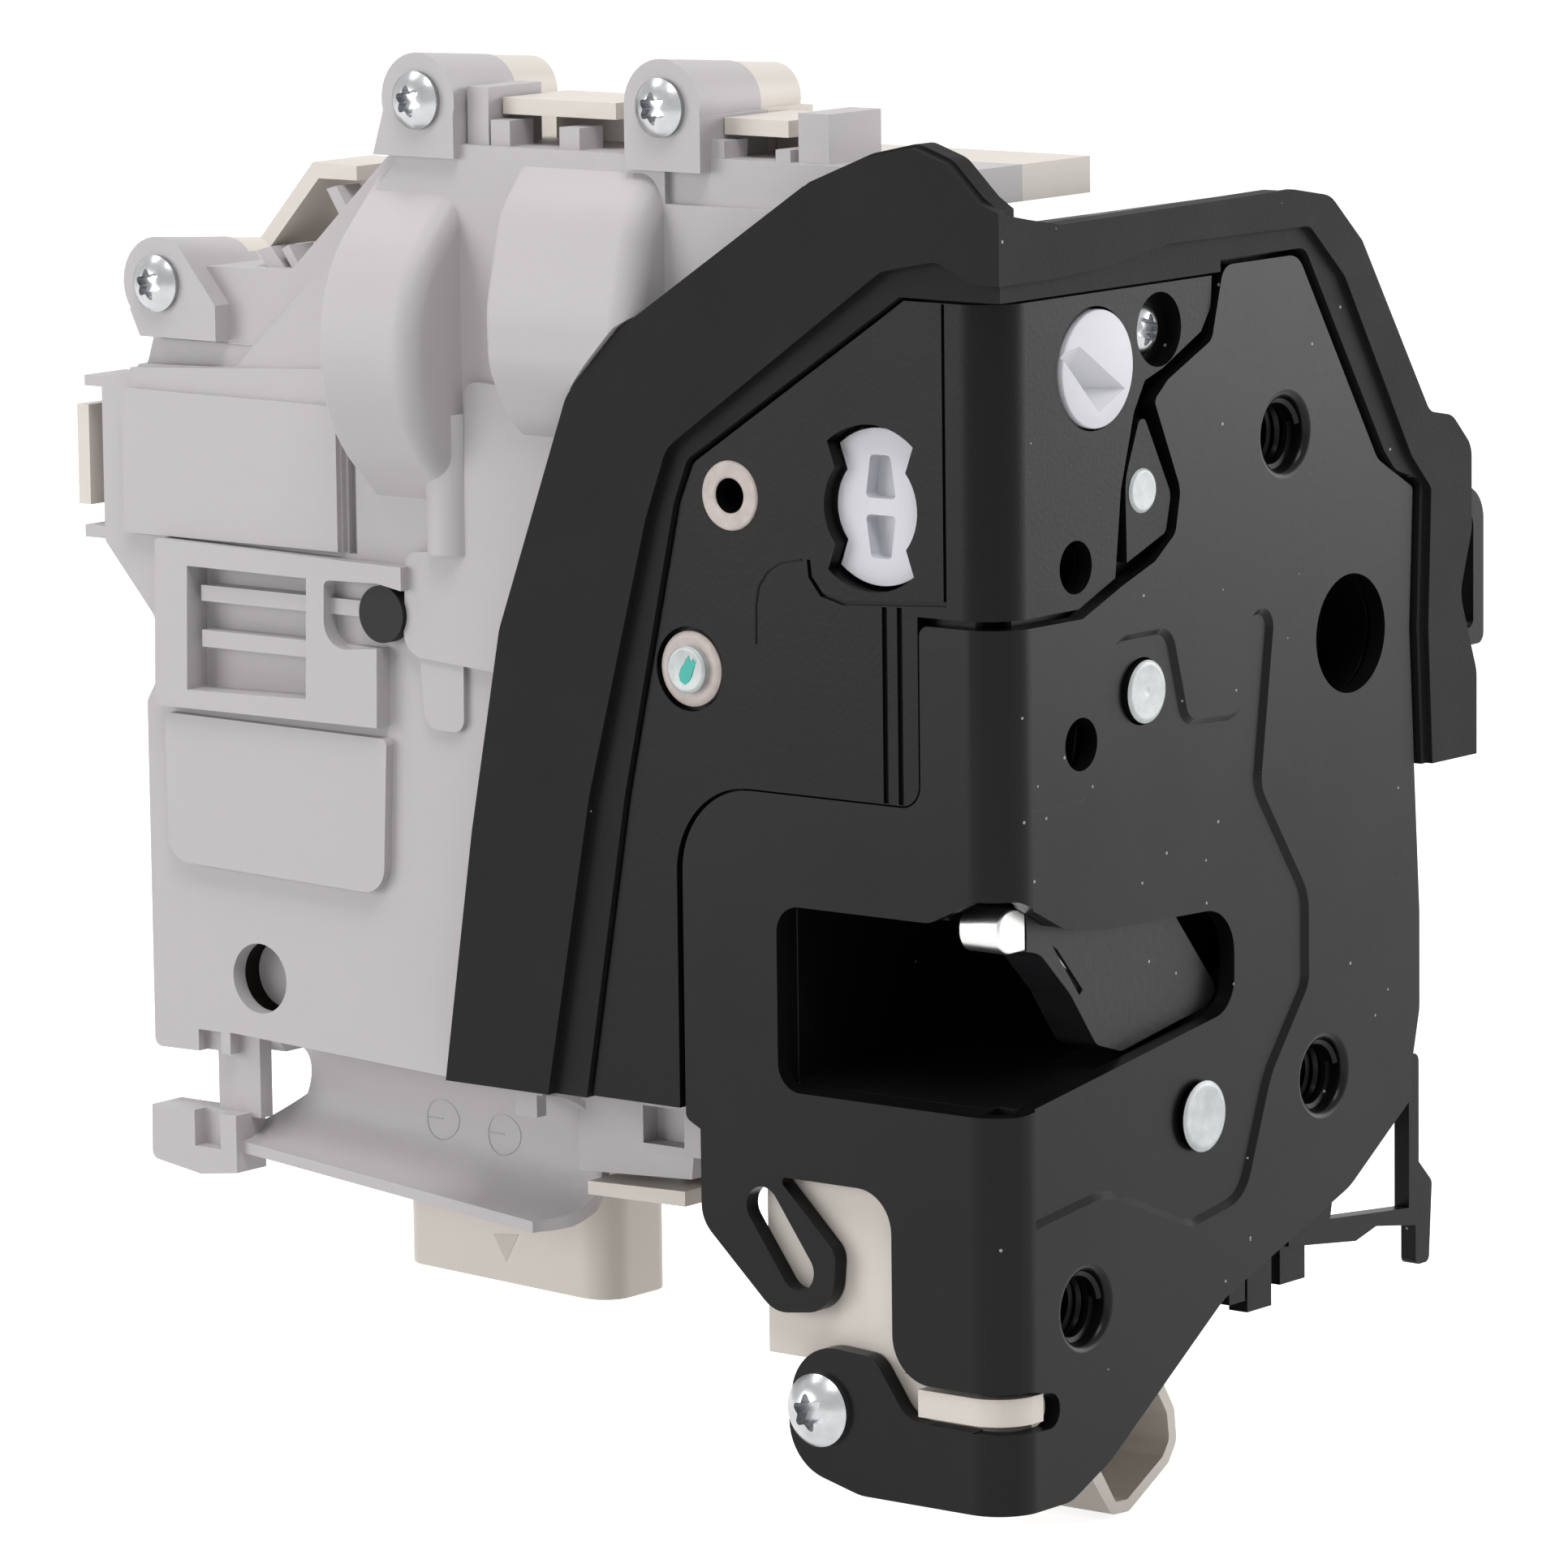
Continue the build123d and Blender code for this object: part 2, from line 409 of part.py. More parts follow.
def pivot_rivet(centre):
    """A headed rivet through the steel plate, with its tail in the housing."""
    face_rod(centre, RIVET_HEAD_R, 0.1, STEEL + FACE_RECESS)
    face_rod(centre, PIVOT_R, STEEL + FACE_RECESS, POCKET_BACK - 0.05)
    face_rod(centre, RIVET_TAIL_R, POCKET_BACK - 0.1, MID_WALL_BACK + 0.8)


with BuildPart() as catch_rivet:
    pivot_rivet(CATCH_PIVOT)
save(catch_rivet.part, "catch_rivet")

with BuildPart() as pawl_rivet:
    pivot_rivet(PAWL_PIVOT)
save(pawl_rivet.part, "pawl_rivet")

with BuildPart() as pad_rivet:
    face_rod(PAD_RIVET, 2.4, 0.1, SKIN_FRONT)
    face_rod(PAD_RIVET, 1.8, SKIN_FRONT, 4.6)
save(pad_rivet.part, "pad_rivet")

with BuildPart() as face_screw:
    face_rod(FACE_SCREW, 2.8, 0.9, BLOCK_FRONT)
    face_rod(FACE_SCREW, 1.4, BLOCK_FRONT, 12)
save(face_screw.part, "face_screw")

# Child lock: a round disc with a wedge-shaped key recess, on a stub shaft
KEY_WEDGE = [(-39, 14.6), (-36.6, 15.4), (-29.6, 6.6), (-31.6, 4.8)]
with BuildPart() as child_lock_disc:
    face_rod(DISC_CENTRE, DISC_R, SKIN_FRONT, 3.4)
    face_rod(DISC_CENTRE, DISC_SHAFT_R, 3.4, 11)
    face_prism(KEY_WEDGE, 0, 1.6, Mode.SUBTRACT)
save(child_lock_disc.part, "child_lock_disc")

# Key coupler: a bow-tie head behind the panel window, on a shaft that turns in the bearing web
with BuildPart() as key_coupler:
    extrude(bow_tie(-49.2, COUPLER_CENTRE, COUPLER_R, 5.75), amount=2.4)
    side_rod(COUPLER_CENTRE, COUPLER_SHAFT_R, -46.8, -41)
    for rise in (1, -1):
        corners = [(-2, 0.9), (2, 0.9), (1.3, 5.5), (-1.3, 5.5)]
        pocket = [(COUPLER_CENTRE[0] + y, COUPLER_CENTRE[1] + rise * z, 0.5) for y, z in corners]
        side_prism(pocket, -50, -46, Mode.SUBTRACT)
save(key_coupler.part, "key_coupler")

# Lever rivet with its washer, and the guide bush of the inner lever
with BuildPart() as lever_rivet:
    side_rod(LEVER_PIVOT, 4.4, -51.3, -50.0)
    side_rod(LEVER_PIVOT, 3.1, -52.3, -51.3)
    side_rod(LEVER_PIVOT, LEVER_SHAFT_R, -50.0, GREY_STEP_FACE - 0.1)
save(lever_rivet.part, "lever_rivet")

with BuildPart() as guide_bush:
    side_rod(BUSH_CENTRE, BUSH_R, -51.2, GREY_STEP_FACE - 0.1)
    side_rod(BUSH_CENTRE, BUSH_BORE_R, -52, GREY_STEP_FACE + 1, Mode.SUBTRACT)
save(guide_bush.part, "guide_bush")

# Pressed levers behind the panel, each on its own level
LEVER_THICK = 1.5
OUTER_LEVEL, INNER_LEVEL = -44.6, -46.6
RELEASE_LEVER = [
    (36.6, -17.5, 4), (47, -16, 5), (50.5, -26, 5), (48.2, -44, 6), (45, -66, 1.5), (40.5, -66, 1.5),
    (41.4, -60, 1), (43.4, -46, 6), (36, -30, 4),
]
INNER_LEVER = [
    (30, 1.5, 4), (38, 3.2, 4), (42.6, -2, 4), (41, -10, 4), (33, -14, 4), (27, -30, 1.5),
    (24, -29, 1.5), (27.5, -12, 5),
]
with BuildPart() as release_lever:
    side_prism(RELEASE_LEVER, OUTER_LEVEL, OUTER_LEVEL + LEVER_THICK)
    side_rod(LEVER_PIVOT, LEVER_SHAFT_R + RUNNING, -46, -42, Mode.SUBTRACT)
    side_rod((46.4, -40), 1.6, -46, -42, Mode.SUBTRACT)
save(release_lever.part, "release_lever")

with BuildPart() as inner_lever:
    side_prism(INNER_LEVER, INNER_LEVEL, INNER_LEVEL + LEVER_THICK)
    side_rod(BUSH_CENTRE, BUSH_R + RUNNING, -48, -42, Mode.SUBTRACT)
save(inner_lever.part, "inner_lever")

# Drive unit outlines, seen along +X
GREY_OUTLINE = [
    (9, 31.5), (9, 27.6), (26, 27.6), (26, -39.6), (36, -39.6), (36, -78.5, 1), (57, -78.5, 2),
    (60, -74.6), (70.7, -73), (108.3, -71.2), (108.9, -73.2), (124.5, -73.4, 1),
    (124.5, -33.6, 1.5), (123, -31.2), (123, -24, 2), (130.4, -15.8, 1), (130.4, 3, 0.6),
    (124.8, 3.8, 2.5), (122.8, 10), (117, 16), (102.5, 16.4, 1), (88.2, 29.6, 1), (84, 31.5),
]
GREY_INSIDE = [
    (28.2, 29.3), (28.2, -37.6), (38, -37.6), (38, -71.8), (121.6, -70.6, 1), (122.3, -34, 3),
    (120.8, -30), (120.8, -23.4, 2), (128.4, -14.8, 1), (128.4, 1, 1), (123, 2, 2),
    (119.4, 10), (115, 14), (101.8, 14.4, 2), (86.5, 28), (83.4, 29.3),
]
STEP_REGION = [
    (5, 24), (20, 33), (30, 23), (45, 13.6), (55.6, 2, 4), (61.4, -16, 8), (67, -60), (67, -80),
    (5, -80),
]
DEEP_INSIDE = [
    (64.5, -30), (70, -71.2), (121.6, -70.2, 1), (122.3, -34, 3), (120.8, -30), (120.8, -23.4, 2),
    (128.4, -14.8, 1), (128.4, 0.4, 1), (110, 1.4), (98.6, 11.6), (86.5, 25), (83.4, 29.3),
    (41, 29.3), (43, 20), (55, 12), (61, 0),
]
EAR_PLATE_CUT = [(135, 4.4), (110, 5.1), (100.4, 13.7), (86, 29), (86, 45), (135, 45)]
BEVEL_BAND = [(94, 5.9), (125.4, 4.3), (126.6, -14.4), (94, -14.4)]
FLAT_BLOCK = [(94.3, 1.8), (126.3, 2, 1), (126.4, -14.4), (94.3, -14.4)]
CLIP_FRAME = [
    (84.3, -15.3), (120.8, -14.6, 0.5), (121.3, -33.6, 0.5), (88.2, -33.5), (88, -24.6),
    (95.8, -25.4, 3), (95.6, -17.5, 0.8), (88, -17.3), (84.3, -17.9),
]
FRAME_WINDOW = [(98.2, -17.5), (116, -17.4), (116.4, -31.5), (98.6, -31.1)]
WINDOW_RIBS = [(-21.4, -19.6), (-26.6, -24.7)]
RAISED_PLATE = [(87.7, -34.8, 0.8), (120.8, -34.5, 0.8), (120.6, -51.4, 3), (88.5, -52.4, 3)]
SIDE_STEP = [
    (60, 5.4), (75.6, 5.7, 1.5), (76.1, -12.8, 0.8), (84.6, -13.8, 1.6), (85.1, -24.2, 2.5),
    (83, -25.3), (60, -27),
]
SMALL_STEP = [(76.7, -25), (83, -25.4), (82.4, -33.2, 2), (76.8, -33.3, 1.5)]
TOP_STEP = box_points(30, 47.8, 26.4, 33)
DOME_FRONT, DOME_BACK = 76.8, 90.0
DOME_PROFILE = [
    (-36, 29.4), (-44.6, 28.4, 2), (-55.9, 17, 18), (-55.9, 1.1, 18), (-44.6, -10.2), (-36, -10.2),
]
BULGE_PROFILE = [
    (-36, 31.3), (-45.5, 31.3, 2), (-50.9, 25, 10), (-53.5, 14.5, 14), (-53.2, 8, 8),
    (-50, 2, 8), (-45, -2), (-36, -2),
]
BULGE_FRONT, BULGE_BACK = 48.0, 68.3
EAR_WEBS = [
    [(124.9, 11), (123.4, 8), (112, 8), (112, 12), (116.2, 17)],
    [(86.6, 35), (88.2, 30), (76.6, 30), (76.6, 35)],
    [(52.5, 36), (52.5, 30), (42.1, 30), (42.1, 36)],
]
EAR_DRAFT = 4.5
MOTOR_CENTRE = (-38.0, 17.0)
TROUGH_NEAR, TROUGH_FAR, TROUGH_WALL = (64.4, -80.3, 7.3), (113.0, -76.8, 6.1), 1.3
TROUGH_END = [(-48, 60), (-48, 69), (-46, 68.4), (-43.4, 65.8), (-41, 64.4), (-37, 63.8), (-37, 60)]
TROUGH_SLANT = [(104, -69), (116, -69), (116, -82), (113, -82), (107, -78)]
BRACKET_BLOCK = [(111.5, -80), (124.3, -80), (124.4, -86.2, 1), (117, -87.3), (111.5, -86.6)]
PLATE_HOLE = (108.3, -64.0)
CLIP_POSTS = [
    (73.2, 76.2, 37.8, -37), (70.2, 72.9, 34.3, -42), (60.4, 63.2, 33.9, -42),
    (40.4, 43.3, 33.4, -42), (31.4, 33.4, 32.8, -42), (26.2, 30.3, 36.8, -37),
]

SLOPE_POSTS = [
    [(109.2, 18), (107, 18.6), (103.6, 14.6), (106, 14.6)],
    [(105.4, 18.4), (104.4, 18.9), (101.6, 15), (103, 15)],
    [(98.6, 25.4), (97.2, 25.8), (94.6, 22), (96.4, 22)],
]


def ears(radius, outer, inner, draft):
    """Screw ears of one shell: drafted round bosses, each on a web down to the body."""
    for centre, web in zip(EARS, EAR_WEBS):
        with BuildSketch(Plane.YZ.offset(outer), mode=Mode.PRIVATE) as boss:
            with Locations(centre):
                Circle(radius)
        extrude(boss.sketch, amount=inner - outer, taper=draft)
        side_prism(web, outer, inner)


def tapered_rod(near, far, wall, mode=Mode.ADD):
    """A round bar along +Y whose two ends differ in height and radius."""
    ends = []
    for y, z, radius in (near, far):
        with BuildSketch(face_plane(y), mode=Mode.PRIVATE) as end:
            with Locations((GREY_FACE, z)):
                Circle(radius + wall)
        ends.append(end.sketch)
    return loft(ends, mode=mode)


def soft_box(points, near, far, near_radius, far_radius):
    """A prism along +Y with its two ends rounded where they stand out of the shell."""
    with BuildPart() as body:
        face_prism(points, near, far)
        for end, radius in ((near, near_radius), (far, far_radius)):
            rim = body.edges().filter_by_position(Axis.Y, end - 0.01, end + 0.01)
            fillet(rim.filter_by(lambda edge: edge.center().X < EAR_PLATE_FACE), radius)
        side_prism(box_points(near - 1, far + 1, -40, 60), EAR_PLATE_FACE, 0, Mode.SUBTRACT)
    return body.part


gear_dome = soft_box(DOME_PROFILE, DOME_FRONT, DOME_BACK, 2.6, 0.8)
motor_bulge = soft_box(BULGE_PROFILE, BULGE_FRONT, BULGE_BACK, 3.0, 1.2)

# Cable trough: a tapering half pipe with a flared mouth
with BuildPart() as cable_trough:
    tapered_rod(TROUGH_NEAR, TROUGH_FAR, TROUGH_WALL)
    side_prism(box_points(60, 120, -95, -60), -60, GREY_FACE, Mode.SUBTRACT)
    with BuildSketch(Plane.XY.offset(-95), mode=Mode.PRIVATE) as mouth:
        add(outline(Plane.XY, TROUGH_END))
    extrude(mouth.sketch, amount=30, mode=Mode.SUBTRACT)
    side_prism(TROUGH_SLANT, -60, -30, Mode.SUBTRACT)

# Grey drive shell, with the gear dome, the motor bulge and the cable trough below
with BuildPart() as actuator_housing:
    side_prism(GREY_OUTLINE, GREY_FACE, SPLIT_X)
    side_prism(EAR_PLATE_CUT, -60, EAR_PLATE_FACE, Mode.SUBTRACT)
    side_prism(TOP_STEP, -60, EAR_PLATE_FACE - 0.6, Mode.SUBTRACT)
    ears(EAR_R, GREY_FACE - 1, EAR_SPLIT_X, EAR_DRAFT)
    side_prism(BEVEL_BAND, GREY_FACE - 0.6, EAR_PLATE_FACE)
    side_prism(FLAT_BLOCK, GREY_FACE - 1.2, GREY_FACE)
    side_prism(CLIP_FRAME, GREY_FACE - 2.2, GREY_FACE)
    side_prism(RAISED_PLATE, GREY_FACE - 1.2, GREY_FACE)
    side_prism(SIDE_STEP, GREY_FACE - 1, GREY_FACE)
    side_prism(SMALL_STEP, GREY_FACE - 0.7, GREY_FACE)
    add(gear_dome)
    add(motor_bulge)
    with Locations((GREY_FACE + 0.4, 78.6, -13.5)):
        Cylinder(3, 15.5, align=(Align.CENTER, Align.CENTER, Align.MIN))
    side_prism(STEP_REGION, -60, GREY_STEP_FACE, Mode.SUBTRACT)
    side_prism(PANEL_BASE, -60, GREY_FACE, Mode.SUBTRACT)
    side_prism(GREY_INSIDE, GREY_STEP_FACE + WALL, SPLIT_X, Mode.SUBTRACT)
    side_prism(DEEP_INSIDE, GREY_FACE + WALL, GREY_STEP_FACE + WALL, Mode.SUBTRACT)
    for axis, radius in ((GEAR_AXIS, 12.6), (PINION_AXIS, 5)):
        face_rod(axis, radius, DOME_FRONT + 1.6, DOME_BACK - 1.6, Mode.SUBTRACT)
    face_rod(GEAR_AXIS, WORM_R + 0.5, DOME_BACK, 105.2, Mode.SUBTRACT)
    face_rod(MOTOR_CENTRE, 13, BULGE_FRONT + 1.4, BULGE_BACK - 1.4, Mode.SUBTRACT)
    side_prism(FRAME_WINDOW, -60, GREY_FACE + 1.2, Mode.SUBTRACT)
    side_prism(box_points(92.5, 93.6, -14.6, -2), -60, GREY_FACE + 1, Mode.SUBTRACT)
    for low, high in WINDOW_RIBS:
        side_prism(box_points(88.5, 115, low, high), GREY_FACE - 1, GREY_FACE + 1.3)
    for bearing in (90.2, 105.2):
        face_prism(box_points(-45, SPLIT_X, 3.4, 11.6), bearing, bearing + 1.4)
        face_rod(GEAR_AXIS, 1.55, bearing - 1, bearing + 2, Mode.SUBTRACT)
    add(cable_trough.part)
    tapered_rod(TROUGH_NEAR, TROUGH_FAR, 0, Mode.SUBTRACT)
    side_prism(box_points(67.8, 70.9, -75.4, -72), GREY_FACE, GREY_FACE + 1.6)
    side_prism([(49, -72), (66, -72), (66, -81.9), (50, -81.1)], -42, SPLIT_X)
    side_prism(box_points(50.6, 56.4, -77.6, -73.4), -43, -40, Mode.SUBTRACT)
    side_prism(BRACKET_BLOCK, GREY_FACE - 1, GREY_FACE + 4)
    side_prism(box_points(113.9, 117.8, -84.1, -78), -49, GREY_FACE + 0.8, Mode.SUBTRACT)
    side_prism(box_points(110, 116.3, -80.5, -70.8), -45.4, -43.4)
    side_prism(box_points(114.4, 117.8, -74.5, -70.8), -48, -45.6, Mode.SUBTRACT)
    side_prism(box_points(129, 133.2, 1.7, 2.9), -46.8, -40)
    side_prism(box_points(129, 133.6, -15.6, -14.2), -46.8, -40)
    for left, right, top, back in CLIP_POSTS:
        side_prism(box_points(left, right, 30.6, top), -46, back)
    for web in SLOPE_POSTS:
        side_prism(web, -44, -40)
    for centre in EARS:
        side_rod(centre, 1.65, -60, SPLIT_X + 1, Mode.SUBTRACT)
    side_rod(PLATE_HOLE, 4, -60, GREY_FACE + 6, Mode.SUBTRACT)
    side_rod(GROMMET, GROMMET_R + RUNNING, -60, GREY_FACE, Mode.SUBTRACT)
    side_prism(SEAL_SIDE, -60, FLANGE_X + STEEL, Mode.SUBTRACT)
save(actuator_housing.part, "actuator_housing")

# Cream rear cover: drive half, plate over the latch block, tray and screw boss below
BACK_FRONT, BACK_REAR = BLOCK_BACK + 0.1, BLOCK_BACK + 0.1 + WALL
BACK_UPPER = [
    (-45.8, 19), (-0.5, 19, 3), (15.5, -5, 3), (21.6, -9.4, 2), (22.2, -24, 6), (22.2, -44.2),
    (-45.8, -44.2),
]
BACK_RIGHT = box_points(-5.6, 22.2, -72, -43)
BACK_LOWER = [
    (-46.6, -70.2), (22, -70.2), (22, -76), (11, -83.4, 6), (-12, -91.6, 5), (-20, -97), (-48.6, -97),
    (-48.6, -71.4), (-46.6, -71.4),
]
TRAY = [
    (-48.6, -95.6), (-20, -95.6), (-9.6, -101), (-4.8, -108.6, 2), (-4.4, -112.4, 2), (-6, -114.6, 1),
    (-13.4, -118.6, 1.2), (-16.6, -118.4, 1.2), (-20.4, -113.4), (-26, -113), (-48.6, -109.5),
]
TRAY_INSIDE = [
    (-39, -97.4), (-21, -97.4), (-10.7, -101.9), (-6.2, -108.9, 1.5), (-5.8, -112, 1.5),
    (-7.1, -113.7, 1), (-13.7, -117.2, 0.6), (-15.8, -117.1, 0.6), (-19.4, -111.8), (-26, -111.4),
    (-39, -109.6),
]
CLIP_LEDGES = [(56.9, 72.8, 36.6), (33.2, 41.9, 35.7)]
SLOPE_CLIP = [(109.4, 19.4), (101.4, 28.2), (95, 28), (95, 26.4), (100.6, 26.4), (108, 18.4)]
TONGUE = [(-50.6, 12.4), (-50.6, 0.4, 4.8), (-44.4, 0.4), (-44.4, 5.4), (-46, 5.4), (-46, 12.4)]

with BuildPart() as rear_cover:
    side_prism(GREY_OUTLINE, SPLIT_X, COVER_BACK)
    ears(EAR_R - 1, EAR_SPLIT_X, EAR_END_X, EAR_DRAFT)
    side_prism(GREY_OUTLINE, -60, SPLIT_X, Mode.SUBTRACT)
    for left, right, top in CLIP_LEDGES:
        side_prism(box_points(left, right, 30, top), SPLIT_X, SPLIT_X + WALL)
        side_prism(box_points(left, right, top - 1.8, top), -44, SPLIT_X)
    side_prism(SLOPE_CLIP, -43, SPLIT_X)
    side_prism(SLOPE_CLIP + [(90, 26), (106, 12)], SPLIT_X, SPLIT_X + WALL)
    side_prism(box_points(133.4, 135.2, -12, -0.6), -46, SPLIT_X + WALL)
    side_prism(box_points(129, 135.2, -12, -0.6), SPLIT_X, SPLIT_X + WALL)
    side_prism(box_points(50.2, 57, -84, -78), SPLIT_X, SPLIT_X + WALL)
    side_prism([(50.2, -82.3), (64, -82.7), (64, -84.2), (50.2, -84)], -43, SPLIT_X + WALL)
    side_prism(box_points(68.2, 97.4, -75, -72), SPLIT_X, COVER_BACK)
    side_prism(GREY_INSIDE, SPLIT_X, COVER_BACK - WALL, Mode.SUBTRACT)
    face_prism(BACK_UPPER, BACK_FRONT, BACK_REAR)
    face_prism(BACK_RIGHT, BACK_FRONT, BACK_REAR)
    face_prism(BACK_LOWER, BACK_FRONT, BACK_REAR)
    face_prism(box_points(-34.9, COVER_BACK, -39, 19), BACK_REAR - 0.5, 26.5)
    face_prism(TRAY, 12, BACK_REAR)
    face_prism(TRAY_INSIDE, 11, BACK_REAR - WALL, Mode.SUBTRACT)
    face_prism(box_points(-48.8, -40, -108, -97), 5.3, BACK_REAR)
    side_prism(box_points(15.5, 34, -97, -73), -48.8, -47)
    side_prism(box_points(22.2, 34, -90, -87), -48.8, -35)
    with BuildSketch(Plane.XY.offset(-101), mode=Mode.PRIVATE) as tongue:
        add(outline(Plane.XY, TONGUE))
    extrude(tongue.sketch, amount=3)
    side_rod(ARM_SCREW, 4.6, -48.8, -38)
    side_rod(ARM_SCREW, 2.15, -50, -37, Mode.SUBTRACT)
    for centre in EARS:
        side_rod(centre, 1.65, EAR_SPLIT_X - 1, -29.5, Mode.SUBTRACT)
save(rear_cover.part, "rear_cover")

# Connector: a deep socket that opens downwards, with its blades
SHROUD = [(-35, 68, 4), (-24, 68, 2), (-24, 97.6, 2), (-35, 97.6, 2)]
SHROUD_INSIDE = [(-33.6, 69.4, 2.6), (-25.4, 69.4, 1), (-25.4, 96.2, 1), (-33.6, 96.2, 1)]
SHROUD_TOP, SHROUD_FLOOR, SHROUD_DEPTH = -75.0, -78.0, 26.0
SHROUD_RIM = [(60, -102), (100, -102), (100, -97.3), (60, -98.9)]
with BuildPart() as connector_shroud:
    extrude(outline(Plane.XY.offset(SHROUD_TOP), SHROUD), amount=-SHROUD_DEPTH)
    socket = outline(Plane.XY.offset(SHROUD_FLOOR), SHROUD_INSIDE)
    extrude(socket, amount=-SHROUD_DEPTH, mode=Mode.SUBTRACT)
    side_prism(SHROUD_RIM, -40, -20, Mode.SUBTRACT)
save(connector_shroud.part, "connector_shroud")

with BuildPart() as connector_pins:
    with GridLocations(4.2, 3.1, 2, 7):
        with Locations((-29.5, 82.8, SHROUD_FLOOR)):
            Box(0.8, 0.8, 13, align=(Align.CENTER, Align.CENTER, Align.MAX))
save(connector_pins.part, "connector_pins")

# Screws of the shells and of the lower arm
with BuildPart() as housing_screws:
    for centre in EARS:
        side_rod(centre, 3.2, -49.3, GREY_FACE - 1)
        side_rod(centre, 1.6, GREY_FACE - 1, -30)
save(housing_screws.part, "housing_screws")

with BuildPart() as arm_screw:
    side_rod(ARM_SCREW, 4.0, -53.4, FLANGE_X)
    side_rod(ARM_SCREW, 2.1, FLANGE_X, -38.5)
save(arm_screw.part, "arm_screw")


def toothed(plane, centre, count, turn):
    """Straight-sided teeth, a little thin so that a pair runs with backlash."""
    pitch_r = 0.5 * MODULE * count
    corners = []
    for tooth in range(count):
        for radius, offset in ((-1.0, -0.29), (0.75, -0.12), (0.75, 0.12), (-1.0, 0.29)):
            angle = radians(turn + 360 / count * (tooth + offset))
            reach = pitch_r + MODULE * radius
            corners.append((centre[0] + reach * cos(angle), centre[1] + reach * sin(angle)))
    with BuildSketch(plane, mode=Mode.PRIVATE) as gear:
        Polygon(*corners, align=None)
    return gear.sketch


# Lock drive: motor, pinion, gear with its worm, cam wheel and lever
MESH_ANGLE = 83.3
with BuildPart() as lock_motor:
    with BuildSketch(face_plane(MOTOR_FRONT), mode=Mode.PRIVATE) as can:
        with Locations(PINION_AXIS):
            Circle(8.8)
            Rectangle(19, 13, mode=Mode.INTERSECT)
    extrude(can.sketch, amount=MOTOR_FRONT - MOTOR_BACK)
    face_rod(PINION_AXIS, 3, MOTOR_BACK, MOTOR_BACK + 1.5)
save(lock_motor.part, "lock_motor")

with BuildPart() as motor_pinion:
    facing = MESH_ANGLE + 180 + 180 / PINION_TEETH
    teeth = toothed(face_plane(GEAR_FRONT), PINION_AXIS, PINION_TEETH, facing)
    extrude(teeth, amount=GEAR_FRONT - GEAR_BACK)
    face_rod(PINION_AXIS, 1, MOTOR_BACK + 1.6, GEAR_FRONT)
save(motor_pinion.part, "motor_pinion")

with BuildPart() as drive_gear:
    teeth = toothed(face_plane(GEAR_FRONT), GEAR_AXIS, GEAR_TEETH, MESH_ANGLE)
    extrude(teeth, amount=GEAR_FRONT - GEAR_BACK)
    face_rod(GEAR_AXIS, 1.5, GEAR_BACK, 107)
    face_rod(GEAR_AXIS, WORM_R, 92.2, 104.6)
save(drive_gear.part, "drive_gear")

DRIVE_PIN = (98.0, -9.0)
with BuildPart() as cam_wheel:
    side_rod(WHEEL_CENTRE, WHEEL_R, -44.4, -39.4)
    side_rod(DRIVE_PIN, 1.2, -39.4, -36)
    side_rod(WHEEL_CENTRE, 1.5 + RUNNING, -45, -39, Mode.SUBTRACT)
save(cam_wheel.part, "cam_wheel")

with BuildPart() as wheel_pin:
    side_rod(WHEEL_CENTRE, 1.5, GREY_FACE + WALL, -39.2)
save(wheel_pin.part, "wheel_pin")

LEVER_FRONT, LEVER_REAR = -38.4, -36.4
LEVER_TOP = [(93, -28), (94.6, -5, 1), (98, -2.6, 1), (101.4, -5, 1), (103, -28)]
LEVER_TAIL = [(94, -24), (102.4, -31), (91, -45.4, 2), (86, -43, 2)]
LEVER_SLOT = box_points(96.2, 99.8, -11.6, -5.4)
with BuildPart() as lock_lever:
    side_prism(LEVER_TOP, LEVER_FRONT, LEVER_REAR)
    side_prism(LEVER_TAIL, LEVER_FRONT, LEVER_REAR)
    side_rod(LINK_PIVOT, 5, LEVER_FRONT, LEVER_REAR)
    side_prism(LEVER_SLOT, LEVER_FRONT - 1, LEVER_REAR + 1, Mode.SUBTRACT)
    side_rod(LINK_PIVOT, 2 + RUNNING, LEVER_FRONT - 1, LEVER_REAR + 1, Mode.SUBTRACT)
save(lock_lever.part, "lock_lever")

with BuildPart() as lever_pin:
    side_rod(LINK_PIVOT, 2, GREY_FACE + WALL, -36)
    side_rod(LINK_PIVOT, 3.5, GREY_FACE + WALL, LEVER_FRONT - 0.1)
save(lever_pin.part, "lever_pin")

with BuildPart() as contact_plate:
    side_prism(box_points(74, 118, -60, -20, 3), -26.2, COVER_BACK - WALL)
save(contact_plate.part, "contact_plate")

with BuildPart() as microswitches:
    for low in (-54.0, -40.0):
        side_prism(box_points(78, 91, low, low + 6.5), -32, -26.2)
save(microswitches.part, "microswitches")


def leg_spring(centre, front, radius, wire, legs):
    """A leg spring drawn as three rings on a thin tube, with two straight square legs."""
    face_rod(centre, radius + 0.4 * wire, front, front + 5.4 * wire)
    for turn in range(3):
        start = front + 1.9 * wire * turn
        face_rod(centre, radius + 0.9 * wire, start, start + 1.6 * wire)
    face_rod(centre, radius - 0.8 * wire, front - 1, front + 6 * wire, Mode.SUBTRACT)
    for left, right, low, level in legs:
        face_prism(box_points(left, right, low, low + 1.6 * wire), level, level + 1.6 * wire)


with BuildPart() as catch_spring:
    leg_spring(CATCH_PIVOT, 14, 4.2, 0.6, [(-25, -10, -21.4, 14), (-25, -10, -29.7, 16.28)])
save(catch_spring.part, "catch_spring")

